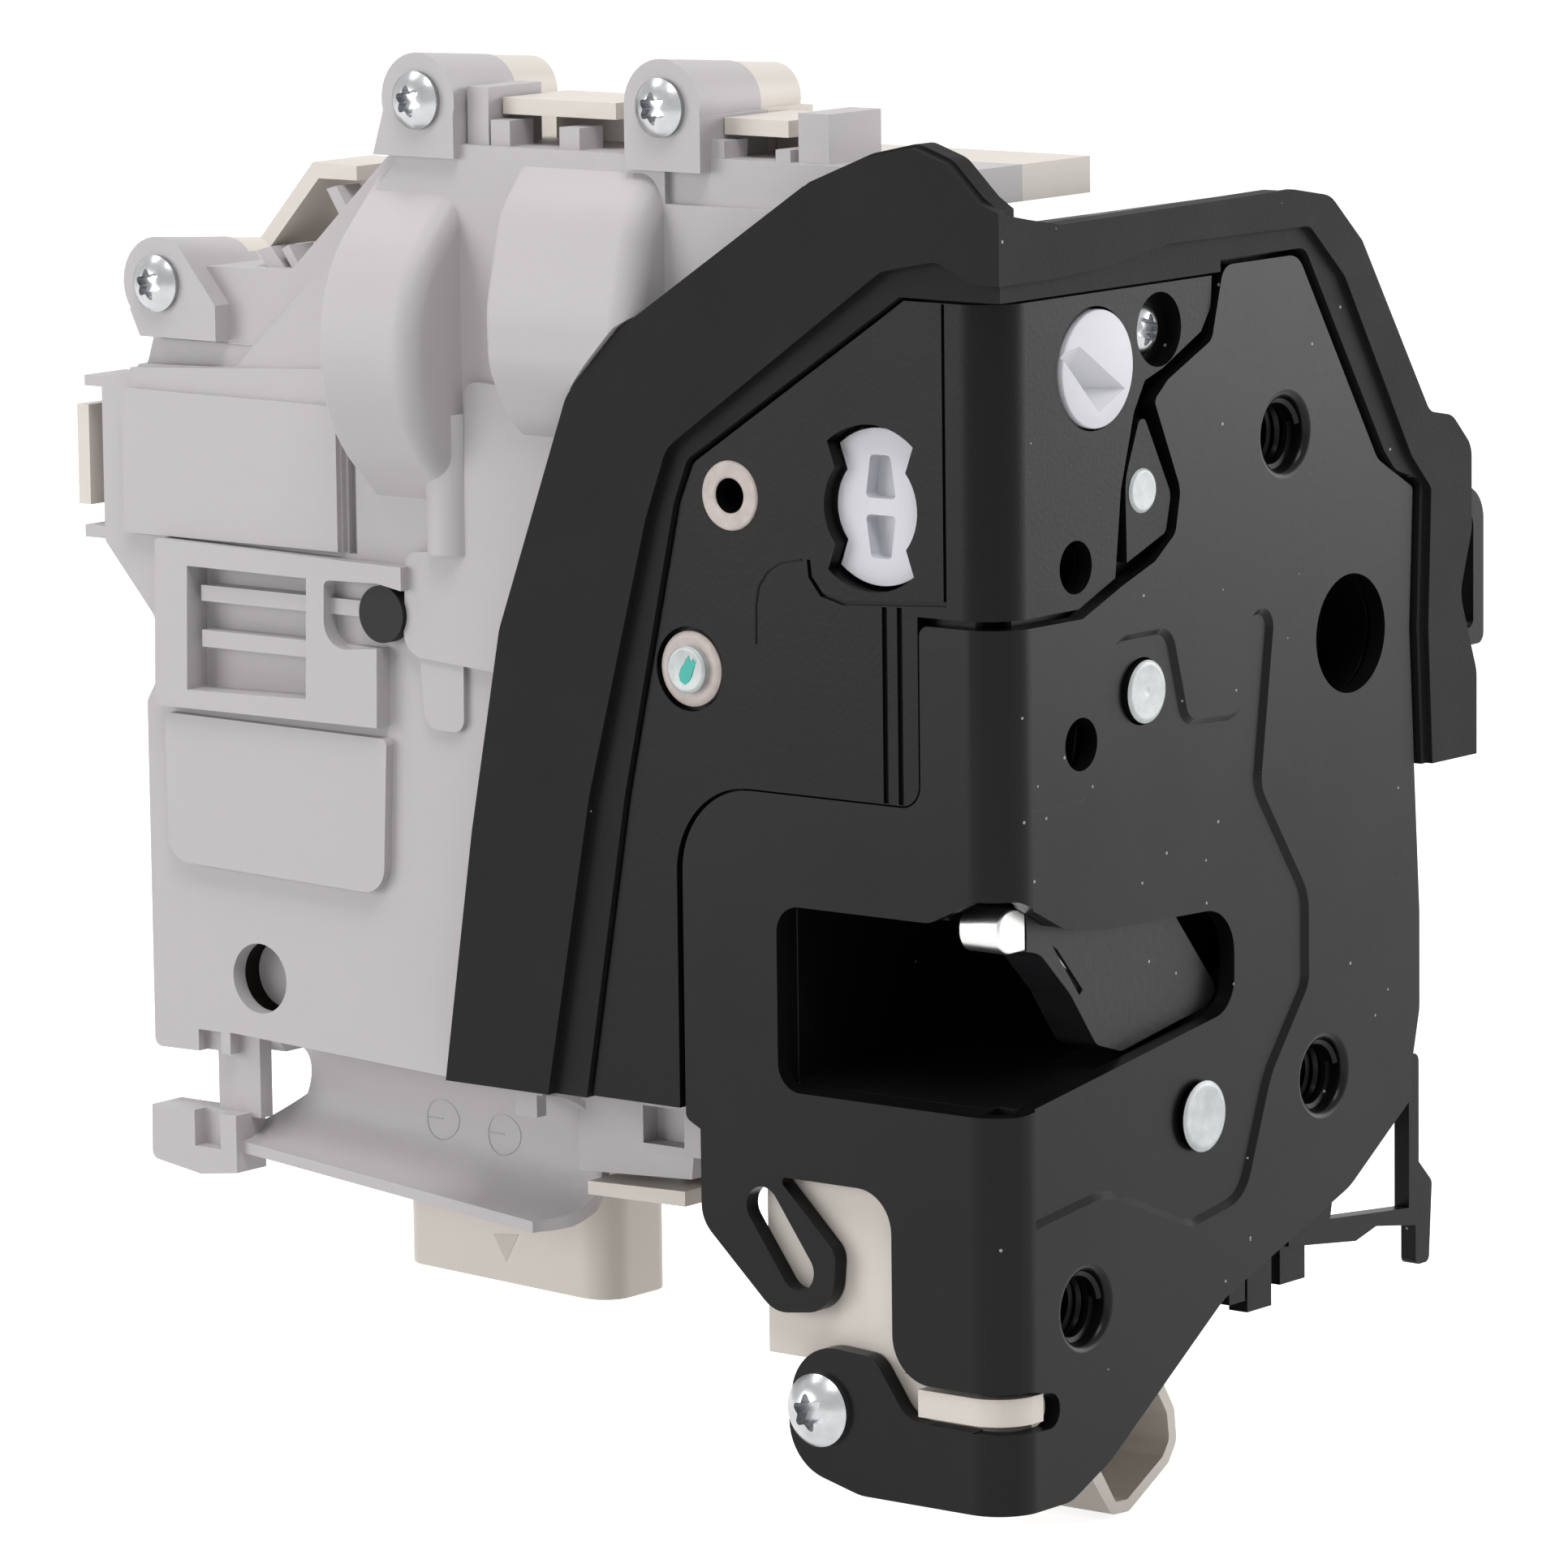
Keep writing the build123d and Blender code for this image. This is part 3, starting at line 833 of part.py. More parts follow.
with BuildPart() as pawl_spring:
    leg_spring(PAWL_SPRING_POST, 14, 3.6, 0.5, [(-36, -22, -82.5, 14), (-22, -11, -82.5, 15.9)])
save(pawl_spring.part, "pawl_spring")

BUMPER = [(-46.4, -44.9, 0.8), (-42, -44.9, 0.8), (-42, -38, 1), (-46.4, -38, 1)]
with BuildPart() as catch_bumper:
    face_prism(BUMPER, 3.2, POCKET_BACK)
save(catch_bumper.part, "catch_bumper")

with BuildPart() as cable_grommet:
    side_rod(GROMMET, GROMMET_R, GREY_FACE - 1.6, GREY_FACE)
save(cable_grommet.part, "cable_grommet")
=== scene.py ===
# %% [markdown]
# # A door latch actuator
# The object is a car door latch: a rotary catch behind an L-shaped steel frame, a foam seal that
# follows both faces of the frame, and a flat drive unit in a grey shell beside it.
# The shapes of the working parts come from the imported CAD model, which is loaded as a fixed frame.
# This script gives them soft edges, finishes and the small details that make them read as real.

# %% Load the frame
import json
import math

import bmesh
import bpy
from mathutils import Matrix, Vector


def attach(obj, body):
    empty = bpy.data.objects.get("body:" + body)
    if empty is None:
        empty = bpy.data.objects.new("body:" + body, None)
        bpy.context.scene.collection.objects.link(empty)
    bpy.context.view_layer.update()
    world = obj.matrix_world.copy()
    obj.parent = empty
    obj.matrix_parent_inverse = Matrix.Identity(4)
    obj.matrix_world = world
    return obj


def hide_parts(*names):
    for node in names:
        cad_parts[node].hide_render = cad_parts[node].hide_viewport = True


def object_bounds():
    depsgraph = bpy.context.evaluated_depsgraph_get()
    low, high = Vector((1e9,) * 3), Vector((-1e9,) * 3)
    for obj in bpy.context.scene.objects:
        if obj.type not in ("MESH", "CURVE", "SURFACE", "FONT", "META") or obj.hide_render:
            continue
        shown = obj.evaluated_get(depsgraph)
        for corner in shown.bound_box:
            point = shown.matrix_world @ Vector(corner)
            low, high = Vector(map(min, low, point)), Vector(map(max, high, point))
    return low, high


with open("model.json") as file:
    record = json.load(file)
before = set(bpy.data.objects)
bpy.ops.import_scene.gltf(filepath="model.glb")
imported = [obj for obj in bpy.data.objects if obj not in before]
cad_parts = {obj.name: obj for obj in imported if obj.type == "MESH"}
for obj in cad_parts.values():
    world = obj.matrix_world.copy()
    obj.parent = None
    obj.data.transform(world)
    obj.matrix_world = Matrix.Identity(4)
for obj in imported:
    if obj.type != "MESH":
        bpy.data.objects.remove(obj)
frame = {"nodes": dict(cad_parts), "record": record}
nodes = frame["nodes"]
cad_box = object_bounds()
body_of_node = {}
for body, members in frame["record"]["behaviour"]["bodies"].items():
    for member in members:
        body_of_node[member] = body

# %% [markdown]
# ## Camera
# The camera stands where the photograph was taken from: about 0.95 m away, 51.5 degrees round to the
# left and 9 degrees above, with a long lens, and turned a little about its own axis.
# It is set by a location and a rotation built from those angles, because a tracking constraint
# would not keep the small roll.

# %% Camera
AZIMUTH, ELEVATION, ROLL = math.radians(-51.5), math.radians(9), 0.012
CAMERA_PLACE = (-0.78524, -0.55473, 0.11436)
SENSOR_WIDTH, FOCAL_LENGTH_PIXELS, PHOTO_WIDTH = 36, 11000, 1932
back = Vector((
    math.sin(AZIMUTH) * math.cos(ELEVATION),
    -math.cos(AZIMUTH) * math.cos(ELEVATION),
    math.sin(ELEVATION),
))
level_right = (-back).cross(Vector((0, 0, 1))).normalized()
level_up = level_right.cross(-back)
right = level_right * math.cos(ROLL) - level_up * math.sin(ROLL)
up = level_up * math.cos(ROLL) + level_right * math.sin(ROLL)
camera_data = bpy.data.cameras.new("photo_camera")
camera_data.sensor_width = SENSOR_WIDTH
camera_data.lens = SENSOR_WIDTH * FOCAL_LENGTH_PIXELS / PHOTO_WIDTH
camera_data.clip_start, camera_data.clip_end = 0.05, 20
camera = bpy.data.objects.new("photo_camera", camera_data)
bpy.context.collection.objects.link(camera)
facing = Matrix((right, up, back)).transposed().to_4x4()
camera.matrix_world = Matrix.Translation(CAMERA_PLACE) @ facing
bpy.context.scene.camera = camera
print("lens", round(camera_data.lens, 1))

# %% [markdown]
# ## Light
# The photograph is a studio shot: soft light from all round, and two bright panels, one behind on the
# left and one in front on the right. The black steel is glossy, so each flat face shows the panel
# that it mirrors to the camera, and the bend between them is darker.
# The world gives the soft light. Rays from the camera, and rays mirrored or let through, see it
# white instead, so the background is white without any more light on the object.

# %% World
scene = bpy.context.scene
scene.view_settings.view_transform = "Standard"
world = bpy.data.worlds.new("studio_white")
scene.world = world
world.use_nodes = True
world_tree = world.node_tree
world_tree.nodes.clear()


def maths(tree, operation, *terms):
    """A math node whose inputs are numbers or other nodes' outputs; gives its output."""
    node = tree.nodes.new("ShaderNodeMath")
    node.operation = operation
    for socket, term in zip(node.inputs, terms):
        if isinstance(term, (int, float)):
            socket.default_value = term
        else:
            tree.links.new(term, socket)
    return node.outputs[0]


def seen_directly(tree):
    """1 for a ray from the camera, or one that is mirrored or let through, and 0 for soft light."""
    kind = tree.nodes.new("ShaderNodeLightPath")
    glossy, through = kind.outputs["Is Glossy Ray"], kind.outputs["Is Transmission Ray"]
    mirrored = maths(tree, "MAXIMUM", glossy, through)
    return maths(tree, "MAXIMUM", kind.outputs["Is Camera Ray"], mirrored)


world_out = world_tree.nodes.new("ShaderNodeOutputWorld")
soft_light = world_tree.nodes.new("ShaderNodeBackground")
soft_light.inputs["Strength"].default_value = 0.36
white_behind = world_tree.nodes.new("ShaderNodeBackground")
choose = world_tree.nodes.new("ShaderNodeMixShader")
for background in (soft_light, white_behind):
    background.inputs["Color"].default_value = (1, 1, 1, 1)
world_tree.links.new(seen_directly(world_tree), choose.inputs["Fac"])
world_tree.links.new(soft_light.outputs[0], choose.inputs[1])
world_tree.links.new(white_behind.outputs[0], choose.inputs[2])
world_tree.links.new(choose.outputs[0], world_out.inputs["Surface"])
print("soft light", soft_light.inputs["Strength"].default_value)

# %% [markdown]
# The two panels that the black faces mirror are area lamps as large as real soft boxes, because the
# size of a lamp sets how soft its mirror image and its shadow are. A third hangs above for the tops
# of the grey shell, and a narrow one behind picks out the upper edges.

# %% Lamps


def panel_lamp(name, place, target, width, height, power):
    """A soft box of a width and height at a place, turned towards a target."""
    data = bpy.data.lights.new(name, "AREA")
    data.shape, data.size, data.size_y, data.energy = "RECTANGLE", width, height, power
    lamp = bpy.data.objects.new(name, data)
    bpy.context.collection.objects.link(lamp)
    lamp.location = place
    lamp.rotation_mode = "QUATERNION"
    lamp.rotation_quaternion = (Vector(target) - Vector(place)).to_track_quat("-Z", "Y")


centre = (cad_box[0] + cad_box[1]) / 2
panel_lamp("left_panel", (-0.95, 0.75, 0.1), centre, 0.7, 0.6, 6.0)
panel_lamp("right_panel", (0.85, -0.62, 0.1), centre, 0.8, 0.8, 9.0)
panel_lamp("top_panel", (-0.45, -0.3, 1.1), centre, 0.6, 0.6, 9.5)
panel_lamp("edge_panel", (-0.1, 0.7, 0.95), centre, 0.9, 0.3, 4.0)
print("lamps", [light.name for light in bpy.data.lights])

# %% [markdown]
# ## Shared finishes
# Several finishes share two effects. One is the fine grain that a spark-eroded mould leaves on
# plastic, and the other is a sparse dust of pale specks, which shows on black rubber and steel.
# Each effect is one node group with named inputs, so every material can set its own scale.

# %% Shared node groups


def new_group(name, inputs, outputs):
    """A shader node group with float inputs (name, default) and typed outputs (name, type)."""
    tree = bpy.data.node_groups.new(name, "ShaderNodeTree")
    for label, value in inputs:
        socket = tree.interface.new_socket(label, in_out="INPUT", socket_type="NodeSocketFloat")
        socket.default_value = value
    for label, kind in outputs:
        tree.interface.new_socket(label, in_out="OUTPUT", socket_type=kind)
    start = tree.nodes.new("NodeGroupInput")
    end = tree.nodes.new("NodeGroupOutput")
    return tree, start, end


def grain_group():
    """Fine mould grain: a height for bump and a soft mask that varies roughness and colour."""
    tree, start, end = new_group(
        "mould_grain",
        [("Grain Scale", 2500.0), ("Patch Scale", 40.0)],
        [("Height", "NodeSocketFloat"), ("Patches", "NodeSocketFloat")],
    )
    place = tree.nodes.new("ShaderNodeTexCoord")
    grain = tree.nodes.new("ShaderNodeTexNoise")
    grain.inputs["Detail"].default_value = 4
    patches = tree.nodes.new("ShaderNodeTexNoise")
    patches.inputs["Detail"].default_value = 3
    tree.links.new(place.outputs["Object"], grain.inputs["Vector"])
    tree.links.new(place.outputs["Object"], patches.inputs["Vector"])
    tree.links.new(start.outputs["Grain Scale"], grain.inputs["Scale"])
    tree.links.new(start.outputs["Patch Scale"], patches.inputs["Scale"])
    tree.links.new(grain.outputs["Fac"], end.inputs["Height"])
    tree.links.new(patches.outputs["Fac"], end.inputs["Patches"])
    return tree


def dust_group():
    """Sparse pale specks: a mask that is 1 in the middle of a few small cells."""
    tree, start, end = new_group(
        "dust_specks",
        [("Speck Scale", 420.0), ("Speck Size", 0.075), ("Share", 0.1)],
        [("Mask", "NodeSocketFloat")],
    )
    place = tree.nodes.new("ShaderNodeTexCoord")
    cells = tree.nodes.new("ShaderNodeTexVoronoi")
    split = tree.nodes.new("ShaderNodeSeparateColor")
    near = tree.nodes.new("ShaderNodeMath")
    near.operation = "LESS_THAN"
    chosen = tree.nodes.new("ShaderNodeMath")
    chosen.operation = "LESS_THAN"
    both = tree.nodes.new("ShaderNodeMath")
    both.operation = "MULTIPLY"
    tree.links.new(place.outputs["Object"], cells.inputs["Vector"])
    tree.links.new(start.outputs["Speck Scale"], cells.inputs["Scale"])
    tree.links.new(cells.outputs["Distance"], near.inputs[0])
    tree.links.new(start.outputs["Speck Size"], near.inputs[1])
    tree.links.new(cells.outputs["Color"], split.inputs["Color"])
    tree.links.new(split.outputs[0], chosen.inputs[0])
    tree.links.new(start.outputs["Share"], chosen.inputs[1])
    tree.links.new(near.outputs[0], both.inputs[0])
    tree.links.new(chosen.outputs[0], both.inputs[1])
    tree.links.new(both.outputs[0], end.inputs["Mask"])
    return tree


mould_grain = grain_group()
dust_specks = dust_group()
print("groups", [group.name for group in bpy.data.node_groups])

# %% [markdown]
# ## Plastic, rubber and coated steel
# One function builds every moulded or coated finish, because they differ only in numbers: colour,
# how much the colour drifts, roughness, the depth of the grain and how much dust lies on them.

# %% Finishes
ROUGHNESS_SWING, GRAIN_STRENGTH, DUST_COLOUR = 0.06, 0.35, (0.3, 0.3, 0.29, 1)


def linear(red, green, blue):
    """An sRGB colour, 0 to 255, as linear values for a shader."""
    return [
        pow((value / 255 + 0.055) / 1.055, 2.4) if value > 10 else value / 3295
        for value in (red, green, blue)
    ]


def coated(name, colour, drift, rough, grain_scale, grain_depth,
           dust=0.0, shine=0.5, metal=0.0, patch=40.0):
    """A finish with grain, a slow drift of colour and roughness, and dust where asked."""
    material = bpy.data.materials.new(name)
    material.use_nodes = True
    tree = material.node_tree
    shader = tree.nodes["Principled BSDF"]
    shader.inputs["Metallic"].default_value = metal
    shader.inputs["Specular IOR Level"].default_value = shine
    grain = tree.nodes.new("ShaderNodeGroup")
    grain.node_tree = mould_grain
    grain.inputs["Grain Scale"].default_value = grain_scale
    grain.inputs["Patch Scale"].default_value = patch
    tone = tree.nodes.new("ShaderNodeMix")
    tone.data_type = "RGBA"
    tone.inputs["A"].default_value = [value * (1 - drift) for value in colour] + [1]
    tone.inputs["B"].default_value = [min(1, value * (1 + drift)) for value in colour] + [1]
    tree.links.new(grain.outputs["Patches"], tone.inputs["Factor"])
    gloss = tree.nodes.new("ShaderNodeMapRange")
    gloss.inputs["To Min"].default_value = rough - ROUGHNESS_SWING
    gloss.inputs["To Max"].default_value = rough + ROUGHNESS_SWING
    tree.links.new(grain.outputs["Patches"], gloss.inputs["Value"])
    tree.links.new(gloss.outputs["Result"], shader.inputs["Roughness"])
    bump = tree.nodes.new("ShaderNodeBump")
    bump.inputs["Strength"].default_value = GRAIN_STRENGTH
    bump.inputs["Distance"].default_value = grain_depth
    tree.links.new(grain.outputs["Height"], bump.inputs["Height"])
    tree.links.new(bump.outputs["Normal"], shader.inputs["Normal"])
    if dust:
        specks = tree.nodes.new("ShaderNodeGroup")
        specks.node_tree = dust_specks
        specks.inputs["Share"].default_value = dust
        dusty = tree.nodes.new("ShaderNodeMix")
        dusty.data_type = "RGBA"
        dusty.inputs["B"].default_value = DUST_COLOUR
        tree.links.new(specks.outputs["Mask"], dusty.inputs["Factor"])
        tree.links.new(tone.outputs["Result"], dusty.inputs["A"])
        tree.links.new(dusty.outputs["Result"], shader.inputs["Base Color"])
    else:
        tree.links.new(tone.outputs["Result"], shader.inputs["Base Color"])
    return material


black_steel = coated(
    "black_coated_steel", linear(13, 13, 14),
    0.1, 0.28, 900, 0.00003, dust=0.16, shine=0.155, patch=60,
)
black_plastic = coated(
    "black_moulding", linear(13, 13, 14),
    0.12, 0.34, 1800, 0.00005, dust=0.13, shine=0.13, patch=60,
)
foam_rubber = coated(
    "foam_rubber", linear(18, 18, 19),
    0.1, 0.62, 3200, 0.00012, dust=0.2, shine=0.14, patch=90,
)
grey_plastic = coated(
    "grey_moulding", linear(177, 173, 175),
    0.025, 0.5, 2400, 0.00003, shine=0.35,
)
ivory_plastic = coated(
    "ivory_moulding", linear(205, 198, 190),
    0.025, 0.45, 2400, 0.00003, shine=0.35,
)
# Painted shade: a darker copy of the ivory, used for the pointer beside the plug.
ivory_painted_shade = coated(
    "ivory_painted_shade", linear(188, 180, 171),
    0.02, 0.45, 2400, 0.00003, shine=0.35,
)
white_plastic = coated(
    "white_moulding", linear(202, 202, 208),
    0.015, 0.4, 2400, 0.00002, shine=0.3,
)
jacket_plastic = coated(
    "catch_jacket", linear(24, 24, 26),
    0.3, 0.34, 900, 0.00008, dust=0.2, shine=0.2, patch=220,
)
bumper_rubber = coated(
    "bumper_rubber", linear(22, 22, 22),
    0.1, 0.6, 2200, 0.00006, shine=0.25,
)
zinc = coated(
    "bright_zinc", [0.42, 0.43, 0.44],
    0.2, 0.26, 1400, 0.00005, metal=1.0, patch=600,
)
rivet_zinc = coated(
    "pale_rivet", linear(166, 171, 171),
    0.3, 0.46, 1600, 0.00006, metal=0.35, patch=700,
)
sleeve_metal = coated(
    "beige_sleeve", linear(170, 160, 156),
    0.3, 0.55, 1500, 0.00008, metal=0.2, patch=700,
)
hook_steel = coated(
    "hook_steel", [0.62, 0.62, 0.61],
    0.1, 0.3, 1200, 0.00004, metal=1.0,
)
contact_brass = coated(
    "contact_brass", [0.75, 0.58, 0.3],
    0.08, 0.35, 1200, 0.00003, metal=1.0,
)
teal_paint = coated(
    "teal_paint", linear(24, 160, 148),
    0.1, 0.4, 1500, 0.00006,
)
print("materials", len(bpy.data.materials))

# %% [markdown]
# ## Soft edges on the shells
# A CAD solid has knife edges, and a moulding or a pressing never has. A copy of the node is welded,
# its flat areas are joined into whole faces, and a narrow bevel rounds every sharp edge. The copy
# then stands for the node, so the highlights along the edges come from real geometry.

# %% Softening helper
WELD_DISTANCE, FLAT_ANGLE, SHARP_ANGLE = 0.000004, math.radians(0.6), math.radians(30)
FACE_SLACK, RIM_SLACK = 0.00005, 0.00006


def on_rim(edge, x, z, radius):
    """Whether an edge lies on the rim of a round hole in the front face."""
    return all(
        abs(v.co.y) < FACE_SLACK and abs(math.hypot(v.co.x - x, v.co.z - z) - radius) < RIM_SLACK
        for v in edge.verts
    )


def softened(name, material, width, segments=2, rims=(), rim_width=0.0):
    """A copy of a CAD node with its sharp edges rounded, riding where the node rides.

    Each rim is the x, z and radius of a hole in the front face that gets a wider lead-in."""
    mesh = nodes[name].data.copy()
    piece = bpy.data.objects.new(name + "_soft", mesh)
    bpy.context.collection.objects.link(piece)
    work = bmesh.new()
    work.from_mesh(mesh)
    bmesh.ops.remove_doubles(work, verts=work.verts, dist=WELD_DISTANCE)
    bmesh.ops.dissolve_limit(work, angle_limit=FLAT_ANGLE, verts=work.verts, edges=work.edges)
    for rim in rims:
        ring = [edge for edge in work.edges if on_rim(edge, *rim)]
        bmesh.ops.bevel(work, geom=ring, offset=rim_width, segments=5, profile=0.5, affect="EDGES")
    work.to_mesh(mesh)
    work.free()
    mesh.materials.clear()
    mesh.materials.append(material)
    for polygon in mesh.polygons:
        polygon.material_index = 0
        polygon.use_smooth = True
    bevel = piece.modifiers.new("edge", "BEVEL")
    bevel.width, bevel.segments = width, segments
    bevel.limit_method, bevel.angle_limit = "ANGLE", SHARP_ANGLE
    bevel.use_clamp_overlap = True
    flat_first = piece.modifiers.new("flat first", "WEIGHTED_NORMAL")
    flat_first.keep_sharp = True
    depsgraph = bpy.context.evaluated_depsgraph_get()
    baked = bpy.data.meshes.new_from_object(piece.evaluated_get(depsgraph))
    piece.modifiers.clear()
    piece.data = baked
    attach(piece, body_of_node[name])
    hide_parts(name)
    print(name, len(baked.polygons))
    return piece


# %% [markdown]
# Every shell gets its own width of edge, as on the real part: the pressed steel and the foam are
# rounder than the mouldings. The mouths of the three fixing holes are widest, as a lead-in for a
# screw.

# %% Shells with soft edges
fixing_holes = [(0.0, 0.0, 0.004), (0.007, -0.0717, 0.004), (-0.0372, -0.09, 0.004)]
softened("latch_frame", black_steel, 0.00035, 3, fixing_holes, 0.0009)
skin = softened("housing_skin", black_plastic, 0.00025)
softened("latch_housing", black_plastic, 0.0002)
softened("striker_channel", black_plastic, 0.0002)
softened("seal", foam_rubber, 0.0004, 3)
shell = softened("actuator_housing", grey_plastic, 0.00025)
softened("rear_cover", ivory_plastic, 0.0003)
softened("connector_shroud", ivory_plastic, 0.0003)
softened("catch_core", hook_steel, 0.0004, 3)
softened("catch_jacket", jacket_plastic, 0.0003)
softened("key_coupler", white_plastic, 0.0002)
bush = softened("guide_bush", sleeve_metal, 0.0003, 3)

# %% [markdown]
# ## Screws, rivets and threads
# These repeat and are all turned round an axis, so each kind is a Geometry Nodes tree with named
# sizes. A tree makes one part standing on the origin with its head up, turns it, and sets a copy on
# every point of the mesh that it is given. The copies are then made real and get their material.

# %% Geometry Nodes helpers


def new_tree(name, inputs):
    """A geometry tree with a points input, and more inputs given as (name, kind, default)."""
    tree = bpy.data.node_groups.new(name, "GeometryNodeTree")
    tree.interface.new_socket("Points", in_out="INPUT", socket_type="NodeSocketGeometry")
    for label, kind, value in inputs + [("Turn", "Vector", (0, 0, 0)), ("Finish", "Material", None)]:
        socket = tree.interface.new_socket(label, in_out="INPUT", socket_type="NodeSocket" + kind)
        if value is not None:
            socket.default_value = value
    tree.interface.new_socket("Parts", in_out="OUTPUT", socket_type="NodeSocketGeometry")
    return tree, tree.nodes.new("NodeGroupInput").outputs


def fed(tree, kind, *terms):
    """A node whose first inputs are numbers or other outputs, with None for one left alone."""
    node = tree.nodes.new(kind)
    for socket, term in zip(node.inputs, terms):
        if term is None:
            continue
        if isinstance(term, bpy.types.NodeSocket):
            tree.links.new(term, socket)
        else:
            socket.default_value = term
    return node


def standing_rod(tree, radius, bottom, height, around, rings):
    """A closed round bar along Z from bottom upwards, with rings on its ends to be shaped."""
    rod = fed(tree, "GeometryNodeMeshCylinder", around, 1, rings, radius, height)
    middle = maths(tree, "ADD", bottom, maths(tree, "MULTIPLY", height, 0.5))
    lift = fed(tree, "ShaderNodeCombineXYZ", 0.0, 0.0, middle)
    return fed(tree, "GeometryNodeTransform", rod.outputs["Mesh"], lift.outputs[0]).outputs[0]


def polar(tree):
    """The X, Y and Z of each point, and its distance from the Z axis."""
    place = tree.nodes.new("GeometryNodeInputPosition")
    x, y, z = fed(tree, "ShaderNodeSeparateXYZ", place.outputs[0]).outputs
    squares = maths(tree, "ADD", maths(tree, "MULTIPLY", x, x), maths(tree, "MULTIPLY", y, y))
    return x, y, z, maths(tree, "SQRT", squares)


def set_on_points(tree, inputs, part):
    """Ends a tree: a turned copy of the part on every point, made real, with its finish."""
    turn = fed(tree, "FunctionNodeEulerToRotation", inputs["Turn"])
    copies = fed(tree, "GeometryNodeInstanceOnPoints",
                 inputs["Points"], None, part, None, None, turn.outputs[0])
    spin = fed(tree, "FunctionNodeRandomValue")
    spin.data_type = "FLOAT_VECTOR"
    spin.inputs["Min"].default_value = (0, 0, 0)
    spin.inputs["Max"].default_value = (0, 0, 1)
    spin.inputs["Seed"].default_value = 7
    own_turn = fed(tree, "FunctionNodeEulerToRotation", spin.outputs["Value"])
    turned = fed(tree, "GeometryNodeRotateInstances", copies.outputs[0], None, own_turn.outputs[0])
    real = fed(tree, "GeometryNodeRealizeInstances", turned.outputs[0])
    finished = fed(tree, "GeometryNodeSetMaterial", real.outputs[0], None, inputs["Finish"])
    fed(tree, "NodeGroupOutput", finished.outputs[0])


CREASE_ANGLE = math.radians(38)


def grown(name, tree, points, sizes, turn, finish, body, replaced=(), edges=()):
    """Runs a tree on points, or on lines between them, and keeps the result as a mesh on a body."""
    start = bpy.data.meshes.new(name)
    start.from_pydata([Vector(point) / 1000 for point in points], edges, [])
    piece = bpy.data.objects.new(name, start)
    bpy.context.collection.objects.link(piece)
    growth = piece.modifiers.new("growth", "NODES")
    growth.node_group = tree
    values = dict(sizes, Turn=turn, Finish=finish)
    for item in tree.interface.items_tree:
        if item.in_out == "INPUT" and item.name in values:
            growth[item.identifier] = values[item.name]
    depsgraph = bpy.context.evaluated_depsgraph_get()
    baked = bpy.data.meshes.new_from_object(piece.evaluated_get(depsgraph))
    piece.modifiers.clear()
    piece.data = baked
    for polygon in baked.polygons:
        polygon.use_smooth = True
    baked.set_sharp_from_angle(angle=CREASE_ANGLE)
    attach(piece, body)
    if replaced:
        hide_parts(*replaced)
    print(name, len(baked.polygons))
    return piece


TO_FRONT = (math.radians(90), 0, 0)
TO_SIDE = (0, math.radians(-90), 0)

# %% [markdown]
# The screws have domed heads with a six-lobed star recess. The head is a flat bar whose top is
# raised by a rule: full height on the axis, none at the rim. The star is a bar whose radius swells
# six times round the circle and shrinks with depth, and it is cut out of the dome.

# %% Screw tree


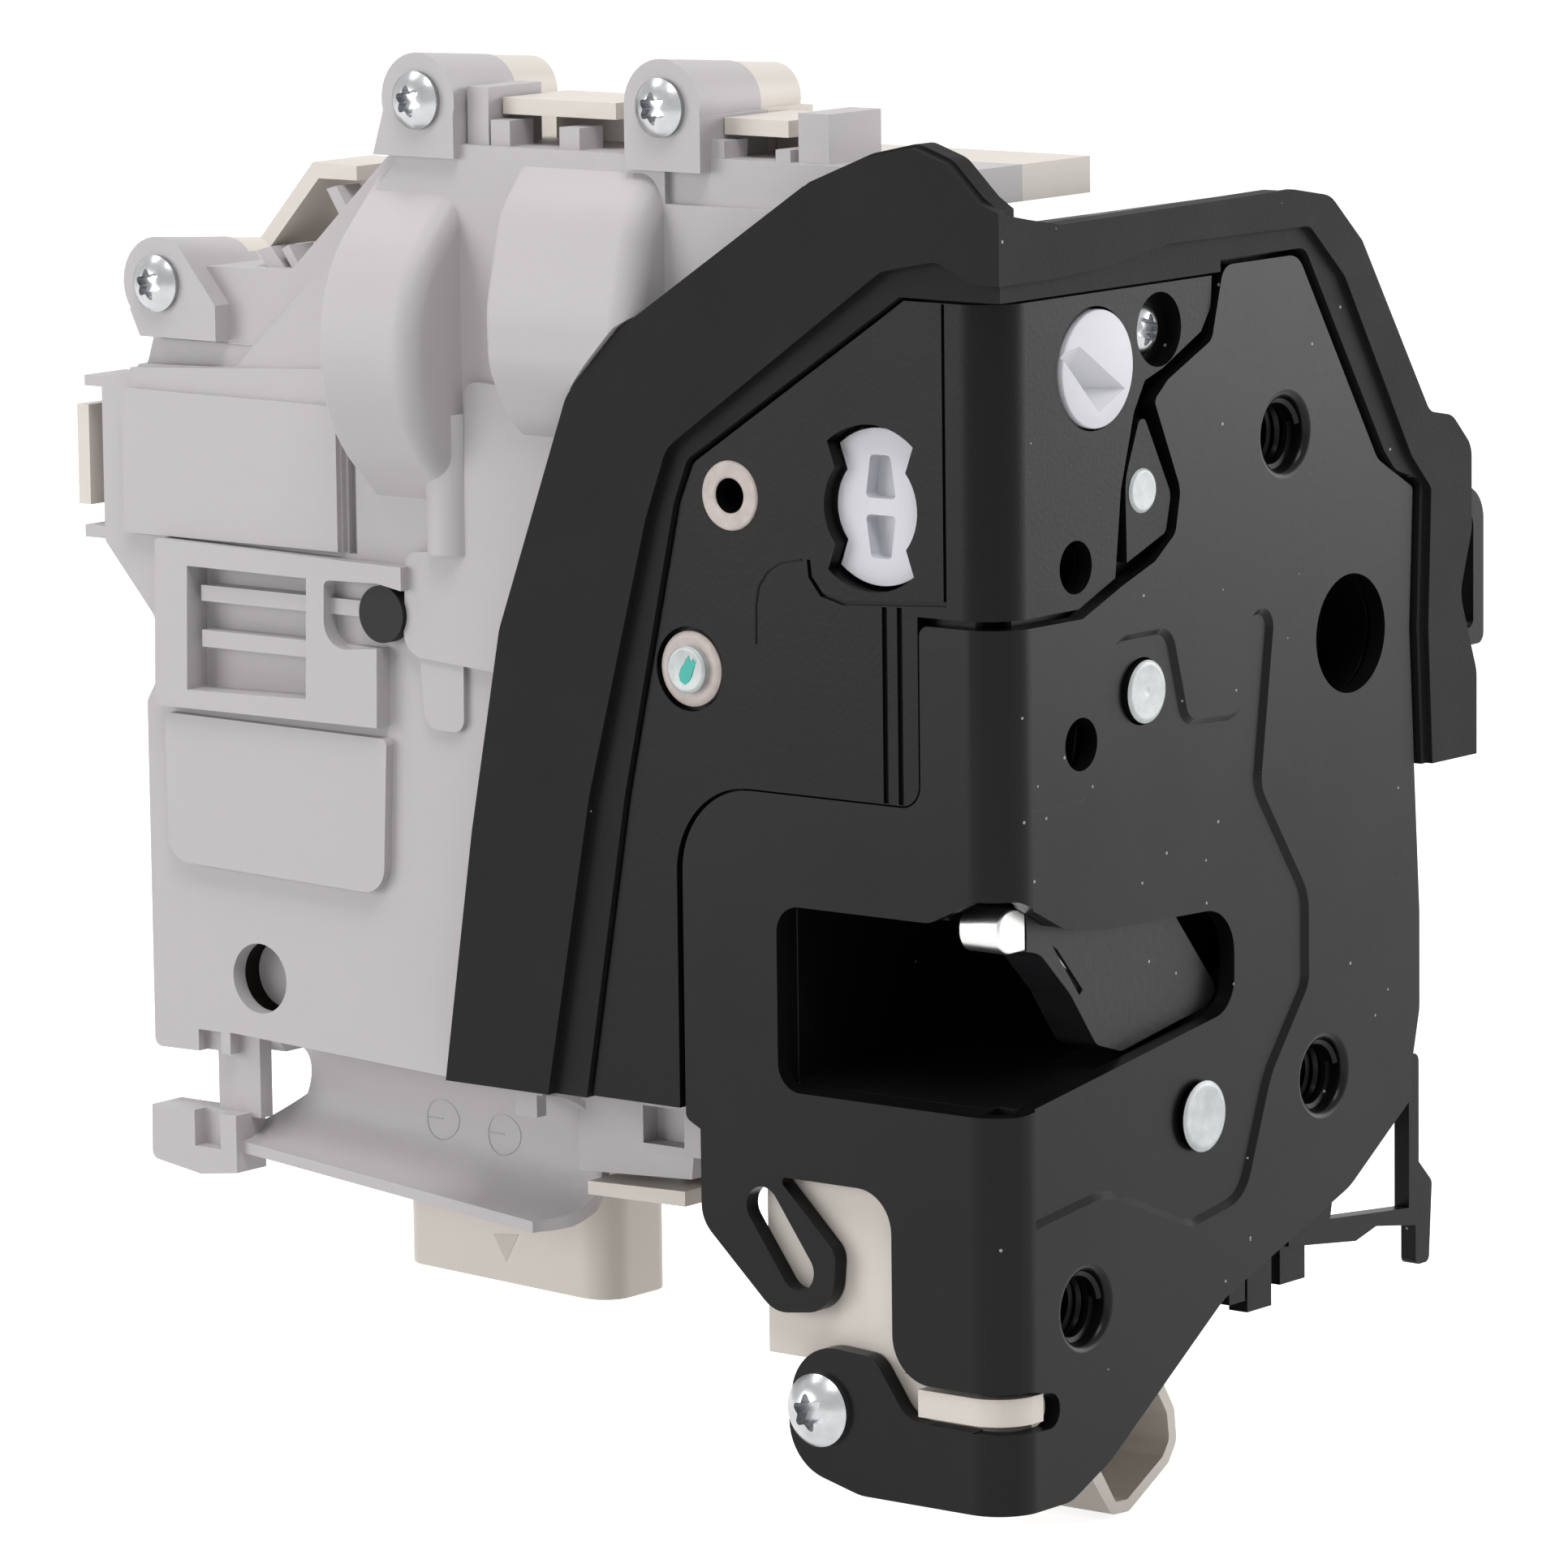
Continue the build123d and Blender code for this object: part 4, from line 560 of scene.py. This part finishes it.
def screw_tree():
    tree, inputs = new_tree("star_screw", [
        ("Head Radius", "Float", 0.0032), ("Rim Height", "Float", 0.0006),
        ("Dome Height", "Float", 0.0012), ("Recess Radius", "Float", 0.0017),
        ("Recess Depth", "Float", 0.0012),
        ("Shank Radius", "Float", 0.0016), ("Shank Length", "Float", 0.01),
    ])
    head = standing_rod(tree, inputs["Head Radius"], 0.0, inputs["Rim Height"], 64, 12)
    x, y, z, out = polar(tree)
    share = maths(tree, "DIVIDE", out, inputs["Head Radius"])
    fall = maths(tree, "SUBTRACT", 1.0, maths(tree, "POWER", share, 2.6))
    on_top = maths(tree, "GREATER_THAN", z, maths(tree, "MULTIPLY", inputs["Rim Height"], 0.5))
    rise = maths(tree, "MULTIPLY", maths(tree, "MULTIPLY", fall, on_top), inputs["Dome Height"])
    up = fed(tree, "ShaderNodeCombineXYZ", 0.0, 0.0, rise)
    dome = fed(tree, "GeometryNodeSetPosition", head, None, None, up.outputs[0])
    reach = maths(tree, "MULTIPLY", inputs["Recess Depth"], 2.0)
    foot = maths(tree, "MULTIPLY", inputs["Recess Depth"], -1.0)
    star = standing_rod(tree, inputs["Recess Radius"], foot, reach, 60, 1)
    lobes = maths(tree, "COSINE", maths(tree, "MULTIPLY", maths(tree, "ARCTAN2", y, x), 6.0))
    taper = maths(tree, "MULTIPLY", maths(tree, "DIVIDE", z, inputs["Recess Depth"]), 0.14)
    swell = maths(tree, "ADD", maths(tree, "MULTIPLY", lobes, 0.17), maths(tree, "ADD", taper, 0.8))
    wide_x, wide_y = maths(tree, "MULTIPLY", x, swell), maths(tree, "MULTIPLY", y, swell)
    wide = fed(tree, "ShaderNodeCombineXYZ", wide_x, wide_y, z)
    lobed = fed(tree, "GeometryNodeSetPosition", star, None, wide.outputs[0])
    top = maths(tree, "ADD", inputs["Rim Height"], inputs["Dome Height"])
    lift = fed(tree, "ShaderNodeCombineXYZ", 0.0, 0.0, top)
    placed = fed(tree, "GeometryNodeTransform", lobed.outputs[0], lift.outputs[0])
    cut = tree.nodes.new("GeometryNodeMeshBoolean")
    cut.operation, cut.solver = "DIFFERENCE", "MANIFOLD"
    tree.links.new(dome.outputs[0], cut.inputs["Mesh 1"])
    tree.links.new(placed.outputs[0], cut.inputs["Mesh 2"])
    below = maths(tree, "MULTIPLY", inputs["Shank Length"], -1.0)
    shank = standing_rod(tree, inputs["Shank Radius"], below, inputs["Shank Length"], 32, 1)
    whole = tree.nodes.new("GeometryNodeJoinGeometry")
    for part in (cut.outputs["Mesh"], shank):
        tree.links.new(part, whole.inputs[0])
    set_on_points(tree, inputs, whole.outputs[0])
    return tree


star_screw = screw_tree()
print("screw tree", len(star_screw.nodes))

# %% [markdown]
# Three of these screws hold the grey shell by its ears. The largest sits on the steel arm at the
# bottom, and the smallest in a pocket of the striker face.

# %% Screws
ear_screws = [(-48.0, 120.5, 14.1), (-48.0, 81.6, 36.2), (-48.0, 47.3, 36.8)]
ear_sizes = {
    "Head Radius": 0.0032, "Rim Height": 0.0006, "Dome Height": 0.0013, "Recess Radius": 0.0019,
    "Shank Length": 0.018,
}
arm_sizes = {
    "Head Radius": 0.004, "Rim Height": 0.0007, "Dome Height": 0.0018, "Recess Radius": 0.0022,
    "Recess Depth": 0.0016, "Shank Radius": 0.0021, "Shank Length": 0.0125,
}
pocket_sizes = {
    "Head Radius": 0.0028, "Rim Height": 0.0006, "Dome Height": 0.0012, "Recess Radius": 0.0019,
    "Shank Radius": 0.0014, "Shank Length": 0.0093,
}
grown("ear_screws", star_screw, ear_screws, ear_sizes,
      TO_SIDE, zinc, "latch", ["housing_screws"])
grown("lower_arm_screw", star_screw, [(-51.0, 25.3, -101.8)], arm_sizes,
      TO_SIDE, zinc, "latch", ["arm_screw"])
grown("pocket_screw", star_screw, [(-23.4, 2.7, 13.4)], pocket_sizes,
      TO_FRONT, zinc, "latch", ["face_screw"])

# %% [markdown]
# A rivet head is a flat pale button. The riveting tool leaves a shallow dish, a softened rim and a
# small mark in the middle, and all three are rules on the distance from the axis.

# %% Rivet tree


def rivet_tree():
    tree, inputs = new_tree("button_rivet", [
        ("Head Radius", "Float", 0.0036), ("Head Height", "Float", 0.001), ("Dish", "Float", 0.00015),
        ("Mark", "Float", 0.0001), ("Shank Radius", "Float", 0.003), ("Shank Length", "Float", 0.008),
    ])
    head = standing_rod(tree, inputs["Head Radius"], 0.0, inputs["Head Height"], 64, 20)
    _, _, z, out = polar(tree)
    share = maths(tree, "DIVIDE", out, inputs["Head Radius"])
    bowl = maths(tree, "SUBTRACT", 1.0, maths(tree, "MULTIPLY", share, share))
    dish = maths(tree, "MULTIPLY", inputs["Dish"], bowl)
    edge = maths(tree, "MAXIMUM", maths(tree, "SUBTRACT", share, 0.84), 0.0)
    rim = maths(tree, "MULTIPLY", maths(tree, "MULTIPLY", edge, edge), 0.011)
    cone = maths(tree, "SUBTRACT", 1.0, maths(tree, "MULTIPLY", share, 7.0))
    near = maths(tree, "MAXIMUM", cone, 0.0)
    mark = maths(tree, "MULTIPLY", near, inputs["Mark"])
    drop = maths(tree, "ADD", maths(tree, "ADD", dish, rim), mark)
    on_top = maths(tree, "GREATER_THAN", z, maths(tree, "MULTIPLY", inputs["Head Height"], 0.5))
    lowered = maths(tree, "MULTIPLY", maths(tree, "MULTIPLY", drop, on_top), -1.0)
    down = fed(tree, "ShaderNodeCombineXYZ", 0.0, 0.0, lowered)
    button = fed(tree, "GeometryNodeSetPosition", head, None, None, down.outputs[0])
    below = maths(tree, "MULTIPLY", inputs["Shank Length"], -1.0)
    shank = standing_rod(tree, inputs["Shank Radius"], below, inputs["Shank Length"], 32, 1)
    whole = tree.nodes.new("GeometryNodeJoinGeometry")
    for part in (button.outputs[0], shank):
        tree.links.new(part, whole.inputs[0])
    set_on_points(tree, inputs, whole.outputs[0])
    return tree


button_rivet = rivet_tree()
print("rivet tree", len(button_rivet.nodes))

# %% [markdown]
# The catch and the pawl each turn on a rivet in the striker face. The sides of these two heads get
# the black steel finish and only the worked top stays pale. The wall of the bore in the bush gets the
# black finish as painted shade, for the dark of a deep hole. So some faces get a second finish.

# %% Rivets
BUSH_Y, BUSH_Z, BORE_REACH = 0.0362, -0.0038, 0.0021


def darken(piece, material, chosen):
    """Gives a second, dark finish to the faces that a rule picks; in the bush's bore it is painted
    shade.
    """
    piece.data.materials.append(material)
    picked = [polygon for polygon in piece.data.polygons if chosen(polygon)]
    for polygon in picked:
        polygon.material_index = len(piece.data.materials) - 1
    print(piece.name, "second finish on", len(picked))


def beside_head(polygon):
    """The side of a front rivet, and not its worked top."""
    return abs(polygon.normal.y) < 0.5


def in_bore(polygon):
    """The wall of the bore in the bush, which gets painted shade."""
    out = math.hypot(polygon.center.y - BUSH_Y, polygon.center.z - BUSH_Z)
    return abs(polygon.normal.x) < 0.5 and out < BORE_REACH


catch_sizes = {
    "Head Radius": 0.0034, "Head Height": 0.0027, "Shank Radius": 0.0029, "Shank Length": 0.0064,
}
pawl_sizes = {
    "Head Radius": 0.0039, "Head Height": 0.0005, "Mark": 0.0, "Shank Radius": 0.0029,
    "Shank Length": 0.0088,
}
pad_sizes = {
    "Head Radius": 0.0024, "Head Height": 0.0003, "Dish": 0.00005, "Mark": 0.0, "Shank Radius": 0.0018,
    "Shank Length": 0.004,
}
catch_head = grown("catch_pivot_rivet", button_rivet, [(-25.7, 2.4, -25.0)], catch_sizes,
                   TO_FRONT, rivet_zinc, "latch", ["catch_rivet"])
pawl_head = grown("pawl_pivot_rivet", button_rivet, [(-15.8, 0.02, -72.6)], pawl_sizes,
                  TO_FRONT, rivet_zinc, "latch", ["pawl_rivet"])
for head in (catch_head, pawl_head):
    darken(head, black_steel, beside_head)
# Painted shade: the bore wall of the bush is made black, as dark as the shade in a deep hole.
darken(bush, black_plastic, in_bore)
grown("pad_rivet_head", button_rivet, [(-25.6, 0.5, -3.5)], pad_sizes,
      TO_FRONT, rivet_zinc, "latch", ["pad_rivet"])

# %% [markdown]
# The lever's rivet on the side panel is two turned parts: a rough washer, and a smaller head on it.

# %% Lever rivet
washer_sizes = {
    "Head Radius": 0.0041, "Head Height": 0.0011, "Dish": 0.0, "Mark": 0.0, "Shank Radius": 0.0025,
    "Shank Length": 0.0073,
}
lever_head_sizes = {
    "Head Radius": 0.0026, "Head Height": 0.0009, "Dish": 0.0002, "Mark": 0.0, "Shank Radius": 0.002,
    "Shank Length": 0.0005,
}
grown("lever_washer", button_rivet, [(-49.9, 42.0, -22.9)], washer_sizes,
      TO_SIDE, sleeve_metal, "latch", ["lever_rivet"])
grown("lever_rivet_head", button_rivet, [(-51.0, 42.0, -22.9)], lever_head_sizes,
      TO_SIDE, rivet_zinc, "latch")

# %% [markdown]
# The three fixing holes are threaded. A thread is one long spiral, so a spiral curve as long as the
# hole, with a small pointed section swept along it, stands just out of the wall of the hole.

# %% Thread tree


def thread_tree():
    tree, inputs = new_tree("inside_thread", [
        ("Wall Radius", "Float", 0.004), ("Pitch", "Float", 0.00125), ("Turns", "Float", 5.0),
        ("Ridge", "Float", 0.00055),
    ])
    proud = maths(tree, "MULTIPLY", inputs["Ridge"], 0.3)
    middle = maths(tree, "SUBTRACT", inputs["Wall Radius"], proud)
    length = maths(tree, "MULTIPLY", inputs["Pitch"], inputs["Turns"])
    spiral = fed(tree, "GeometryNodeCurveSpiral", 40, inputs["Turns"], middle, middle, length)
    section = fed(tree, "GeometryNodeCurvePrimitiveCircle", 6)
    tree.links.new(inputs["Ridge"], section.inputs["Radius"])
    ridge = fed(tree, "GeometryNodeCurveToMesh", spiral.outputs[0], section.outputs["Curve"])
    ridge.inputs["Fill Caps"].default_value = True
    set_on_points(tree, inputs, ridge.outputs[0])
    return tree


inside_thread = thread_tree()
grown("fixing_threads", inside_thread, [(0, 7.6, 0), (7.0, 7.6, -71.7), (-37.2, 7.6, -90.0)], {},
      TO_FRONT, black_steel, "latch")

# %% [markdown]
# ## Child lock
# The white disc turns with a key in a slanting recess. The recess is deepest at one point near its
# lower left edge, and its floors rise from there to the surface, so it is a skew pyramid that is cut
# out of the disc with a Boolean modifier.

# %% Child lock disc
DISC_FACE = (-33.8, 10.25, 6.3, 0.15, 3.4)
DISC_SHAFT = (-34.0, 10.3, 4.0, 3.3, 11.0)
RECESS_CORNERS = [
    (-41.6, -0.6, 13.4), (-37.2, -0.6, 14.0), (-27.4, -0.6, 7.6), (-33.2, -0.6, 5.0),
    (-36.1, 3.4, 8.4),
]
RECESS_FACES = [(0, 1, 2, 3), (0, 4, 1), (1, 4, 2), (2, 4, 3), (3, 4, 0)]
ROUNDED_FACE = 0.000002


def closed_solid(name, corners, faces):
    """A small closed mesh from corners in millimetres, with its faces turned outwards."""
    mesh = bpy.data.meshes.new(name)
    mesh.from_pydata([Vector(corner) / 1000 for corner in corners], [], faces)
    work = bmesh.new()
    work.from_mesh(mesh)
    bmesh.ops.recalc_face_normals(work, faces=work.faces)
    work.to_mesh(mesh)
    work.free()
    solid = bpy.data.objects.new(name, mesh)
    bpy.context.collection.objects.link(solid)
    return solid


def round_bars(name, bars, around):
    """Round bars along +Y in one mesh, each as x, z, radius, front and back in millimetres."""
    work = bmesh.new()
    for x, z, radius, front, back in bars:
        middle = Vector((x, (front + back) / 2, z)) / 1000
        lying = Matrix.Translation(middle) @ Matrix.Rotation(math.radians(90), 4, "X")
        bmesh.ops.create_cone(work, cap_ends=True, segments=around, radius1=radius / 1000,
                              radius2=radius / 1000, depth=(back - front) / 1000, matrix=lying)
    mesh = bpy.data.meshes.new(name)
    work.to_mesh(mesh)
    work.free()
    piece = bpy.data.objects.new(name, mesh)
    bpy.context.collection.objects.link(piece)
    return piece


disc = round_bars("child_lock_face", [DISC_FACE, DISC_SHAFT], 96)
wedge = closed_solid("wedge", RECESS_CORNERS, RECESS_FACES)
rounding = disc.modifiers.new("edge", "BEVEL")
rounding.width, rounding.segments, rounding.limit_method = 0.00018, 3, "ANGLE"
cutting = disc.modifiers.new("recess", "BOOLEAN")
cutting.operation, cutting.object, cutting.solver = "DIFFERENCE", wedge, "EXACT"
depsgraph = bpy.context.evaluated_depsgraph_get()
disc_mesh = bpy.data.meshes.new_from_object(disc.evaluated_get(depsgraph))
disc.modifiers.clear()
disc.data = disc_mesh
bpy.data.objects.remove(wedge)
disc_mesh.materials.append(white_plastic)
for polygon in disc_mesh.polygons:
    polygon.use_smooth = polygon.area < ROUNDED_FACE
disc_mesh.set_sharp_from_angle(angle=SHARP_ANGLE)
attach(disc, "child_lock")
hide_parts("child_lock_disc")
print("disc faces", len(disc_mesh.polygons))

# %% [markdown]
# ## Small marks
# The coupler's two pockets and the round hole low in the grey plate have a floor. A dab of teal paint
# on the lever rivet marks it as checked. Moulded plastic carries small round date marks and a pointer
# beside the plug, which are bare and generic here: a ring with one hand, and a plain triangle. The
# pointer is a darker copy of the ivory, which is painted shade.
# All but the date marks are thin plates, extruded from an outline.

# %% Floors, paint and pointer


def flat_shape(name, plane_x, outline, thickness, material, body):
    """A thin plate on a side face: an outline in y and z, standing out to -X by its thickness."""
    front = [(plane_x - thickness, y, z) for y, z in outline]
    behind = [(plane_x, y, z) for y, z in outline]
    count = len(outline)
    sides = [(i, (i + 1) % count, count + (i + 1) % count, count + i) for i in range(count)]
    faces = [tuple(range(count)), tuple(range(2 * count - 1, count - 1, -1))] + sides
    piece = closed_solid(name, front + behind, faces)
    piece.data.materials.append(material)
    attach(piece, body)
    print(name, count)


def round_outline(y, z, radius):
    """The outline of a disc, as 48 points in y and z."""
    return [
        (y + radius * math.cos(step * math.pi / 24), z + radius * math.sin(step * math.pi / 24))
        for step in range(48)
    ]


GREY_SKIN = -47.0
DAB = [
    (42.6, -22.7), (42.2, -22.3), (41.9, -21.7), (41.5, -21.3), (41.4, -22.0), (40.9, -21.6),
    (40.5, -21.9), (40.9, -22.8), (41.2, -23.6), (41.6, -24.2), (42.1, -24.5), (42.7, -24.2),
    (42.9, -23.5),
]
POINTER = [(84.6, -92.6), (80.9, -92.2), (82.8, -95.5)]
flat_shape("coupler_floor", -46.9, round_outline(17.3, -3.9, 6.0), 0.4,
           white_plastic, "key_coupler_body")
flat_shape("plate_hole_floor", GREY_SKIN + 4.6, round_outline(108.3, -64.0, 3.95), 0.3,
           grey_plastic, "latch")
flat_shape("paint_dab", -51.76, DAB, 0.05, teal_paint, "latch")
# The pointer gets the darker ivory, as painted shade.
flat_shape("plug_pointer", -35.0, POINTER, 0.05, ivory_painted_shade, "latch")

# %% [markdown]
# The date marks lie in the hollow of the cable trough, and two fine ridges cross the side faces. All
# of them are thin lines that follow a surface. Each is drawn flat in front of it, dropped on it by a
# Raycast node, and only then gets its thickness.

# %% Line tree


def dropped(tree, inputs, lines):
    """Ends a tree: lines dropped on the target along a direction, thickened, with their finish."""
    target = fed(tree, "GeometryNodeObjectInfo", inputs["Target"])
    drop = tree.nodes.new("GeometryNodeRaycast")
    tree.links.new(target.outputs["Geometry"], drop.inputs["Target Geometry"])
    tree.links.new(inputs["Direction"], drop.inputs["Ray Direction"])
    landed = fed(tree, "GeometryNodeSetPosition", lines, None, drop.outputs["Hit Position"])
    section = fed(tree, "GeometryNodeCurvePrimitiveCircle", 6)
    tree.links.new(inputs["Line"], section.inputs["Radius"])
    thick = fed(tree, "GeometryNodeCurveToMesh", landed.outputs[0], section.outputs["Curve"])
    thick.inputs["Fill Caps"].default_value = True
    real = fed(tree, "GeometryNodeRealizeInstances", thick.outputs[0])
    finished = fed(tree, "GeometryNodeSetMaterial", real.outputs[0], None, inputs["Finish"])
    fed(tree, "NodeGroupOutput", finished.outputs[0])


LINE_INPUTS = [
    ("Line", "Float", 0.00009), ("Target", "Object", None), ("Direction", "Vector", (1, 0, 0)),
]


def surface_line_tree():
    tree, inputs = new_tree("surface_line", LINE_INPUTS)
    path = fed(tree, "GeometryNodeMeshToCurve", inputs["Points"])
    finer = fed(tree, "GeometryNodeResampleCurve", path.outputs[0], None, 40)
    dropped(tree, inputs, finer.outputs[0])
    return tree


def date_mark_tree():
    tree, inputs = new_tree("date_mark", LINE_INPUTS + [("Ring Radius", "Float", 0.0023)])
    ring = fed(tree, "GeometryNodeCurvePrimitiveCircle", 48)
    tree.links.new(inputs["Ring Radius"], ring.inputs["Radius"])
    hand_length = maths(tree, "MULTIPLY", inputs["Ring Radius"], 0.9)
    tip = fed(tree, "ShaderNodeCombineXYZ", 0.0, hand_length, 0.0)
    hand = fed(tree, "GeometryNodeCurvePrimitiveLine", None, tip.outputs[0])
    finer = fed(tree, "GeometryNodeResampleCurve", hand.outputs[0], None, 8)
    both = tree.nodes.new("GeometryNodeJoinGeometry")
    for part in (ring.outputs["Curve"], finer.outputs[0]):
        tree.links.new(part, both.inputs[0])
    turn = fed(tree, "FunctionNodeEulerToRotation", inputs["Turn"])
    marks = fed(tree, "GeometryNodeInstanceOnPoints",
                inputs["Points"], None, both.outputs[0], None, None, turn.outputs[0])
    lines = fed(tree, "GeometryNodeRealizeInstances", marks.outputs[0])
    dropped(tree, inputs, lines.outputs[0])
    return tree


surface_line = surface_line_tree()
print("line tree", len(surface_line.nodes))

# %% Date marks and lines
IN_FRONT = -60.0


def lined(name, corners, target, thickness, finish):
    """A fine line on a side face, through corners given as y and z in millimetres."""
    points = [(IN_FRONT, y, z) for y, z in corners]
    edges = [(step, step + 1) for step in range(len(points) - 1)]
    sizes = {"Target": target, "Line": thickness}
    grown(name, surface_line, points, sizes, TO_SIDE, finish, "latch", edges=edges)


PANEL_RIDGE = [
    (32.9, -19.5), (32.8, -15.2), (32.4, -13.2), (31.2, -11.6), (29.6, -10.6), (26.6, -10.0),
]
grown("date_marks", date_mark_tree(), [(IN_FRONT, 87.2, -78.8), (IN_FRONT, 78.4, -79.6)],
      {"Target": shell}, TO_SIDE, grey_plastic, "latch")
lined("panel_ridge", PANEL_RIDGE, skin, 0.00012, black_plastic)
lined("ear_groove", [(122.4, 7.55), (108.8, 7.55)], shell, 0.0001, grey_plastic)

# %% [markdown]
# ## Finishes of the other nodes
# The small parts inside, and the grommet, keep their CAD shape and only need a finish.

# %% Finishes by node
finish_of = {
    "pawl": hook_steel, "release_lever": zinc, "inner_lever": zinc, "connector_pins": contact_brass,
    "lock_motor": hook_steel, "motor_pinion": contact_brass, "drive_gear": white_plastic,
    "cam_wheel": white_plastic, "wheel_pin": hook_steel, "lock_lever": white_plastic,
    "lever_pin": hook_steel, "contact_plate": contact_brass, "microswitches": bumper_rubber,
    "catch_spring": hook_steel, "pawl_spring": hook_steel, "catch_bumper": bumper_rubber,
    "cable_grommet": bumper_rubber,
}
for name, material in finish_of.items():
    mesh = nodes[name].data
    mesh.materials.clear()
    mesh.materials.append(material)
print("finished", len(finish_of))

# %% [markdown]
# ## Floor
# A pale floor lies just under the lowest point, and carries a soft shadow. Its glow is seen only by
# the camera and in mirrored rays, so it is white to the eye without lighting the object from below.

# %% Floor
FLOOR_HALF, FLOOR_LEVEL, FLOOR_GLOW = 6.0, cad_box[0].z - 0.0005, 0.72
floor_corners = [
    (-FLOOR_HALF, -FLOOR_HALF, FLOOR_LEVEL), (FLOOR_HALF, -FLOOR_HALF, FLOOR_LEVEL),
    (FLOOR_HALF, FLOOR_HALF, FLOOR_LEVEL), (-FLOOR_HALF, FLOOR_HALF, FLOOR_LEVEL),
]
floor_mesh = bpy.data.meshes.new("floor")
floor_mesh.from_pydata(floor_corners, [], [(0, 1, 2, 3)])
floor = bpy.data.objects.new("floor", floor_mesh)
bpy.context.collection.objects.link(floor)
floor_paint = bpy.data.materials.new("floor_white")
floor_paint.use_nodes = True
floor_tree = floor_paint.node_tree
floor_shader = floor_tree.nodes["Principled BSDF"]
floor_shader.inputs["Base Color"].default_value = (0.8, 0.8, 0.8, 1)
floor_shader.inputs["Roughness"].default_value = 0.9
floor_shader.inputs["Specular IOR Level"].default_value = 0
floor_shader.inputs["Emission Color"].default_value = (1, 1, 1, 1)
glow = maths(floor_tree, "MULTIPLY", seen_directly(floor_tree), FLOOR_GLOW)
floor_tree.links.new(glow, floor_shader.inputs["Emission Strength"])
floor_mesh.materials.append(floor_paint)

# %% Finish
print("cad", [round(side, 4) for side in cad_box[1] - cad_box[0]])
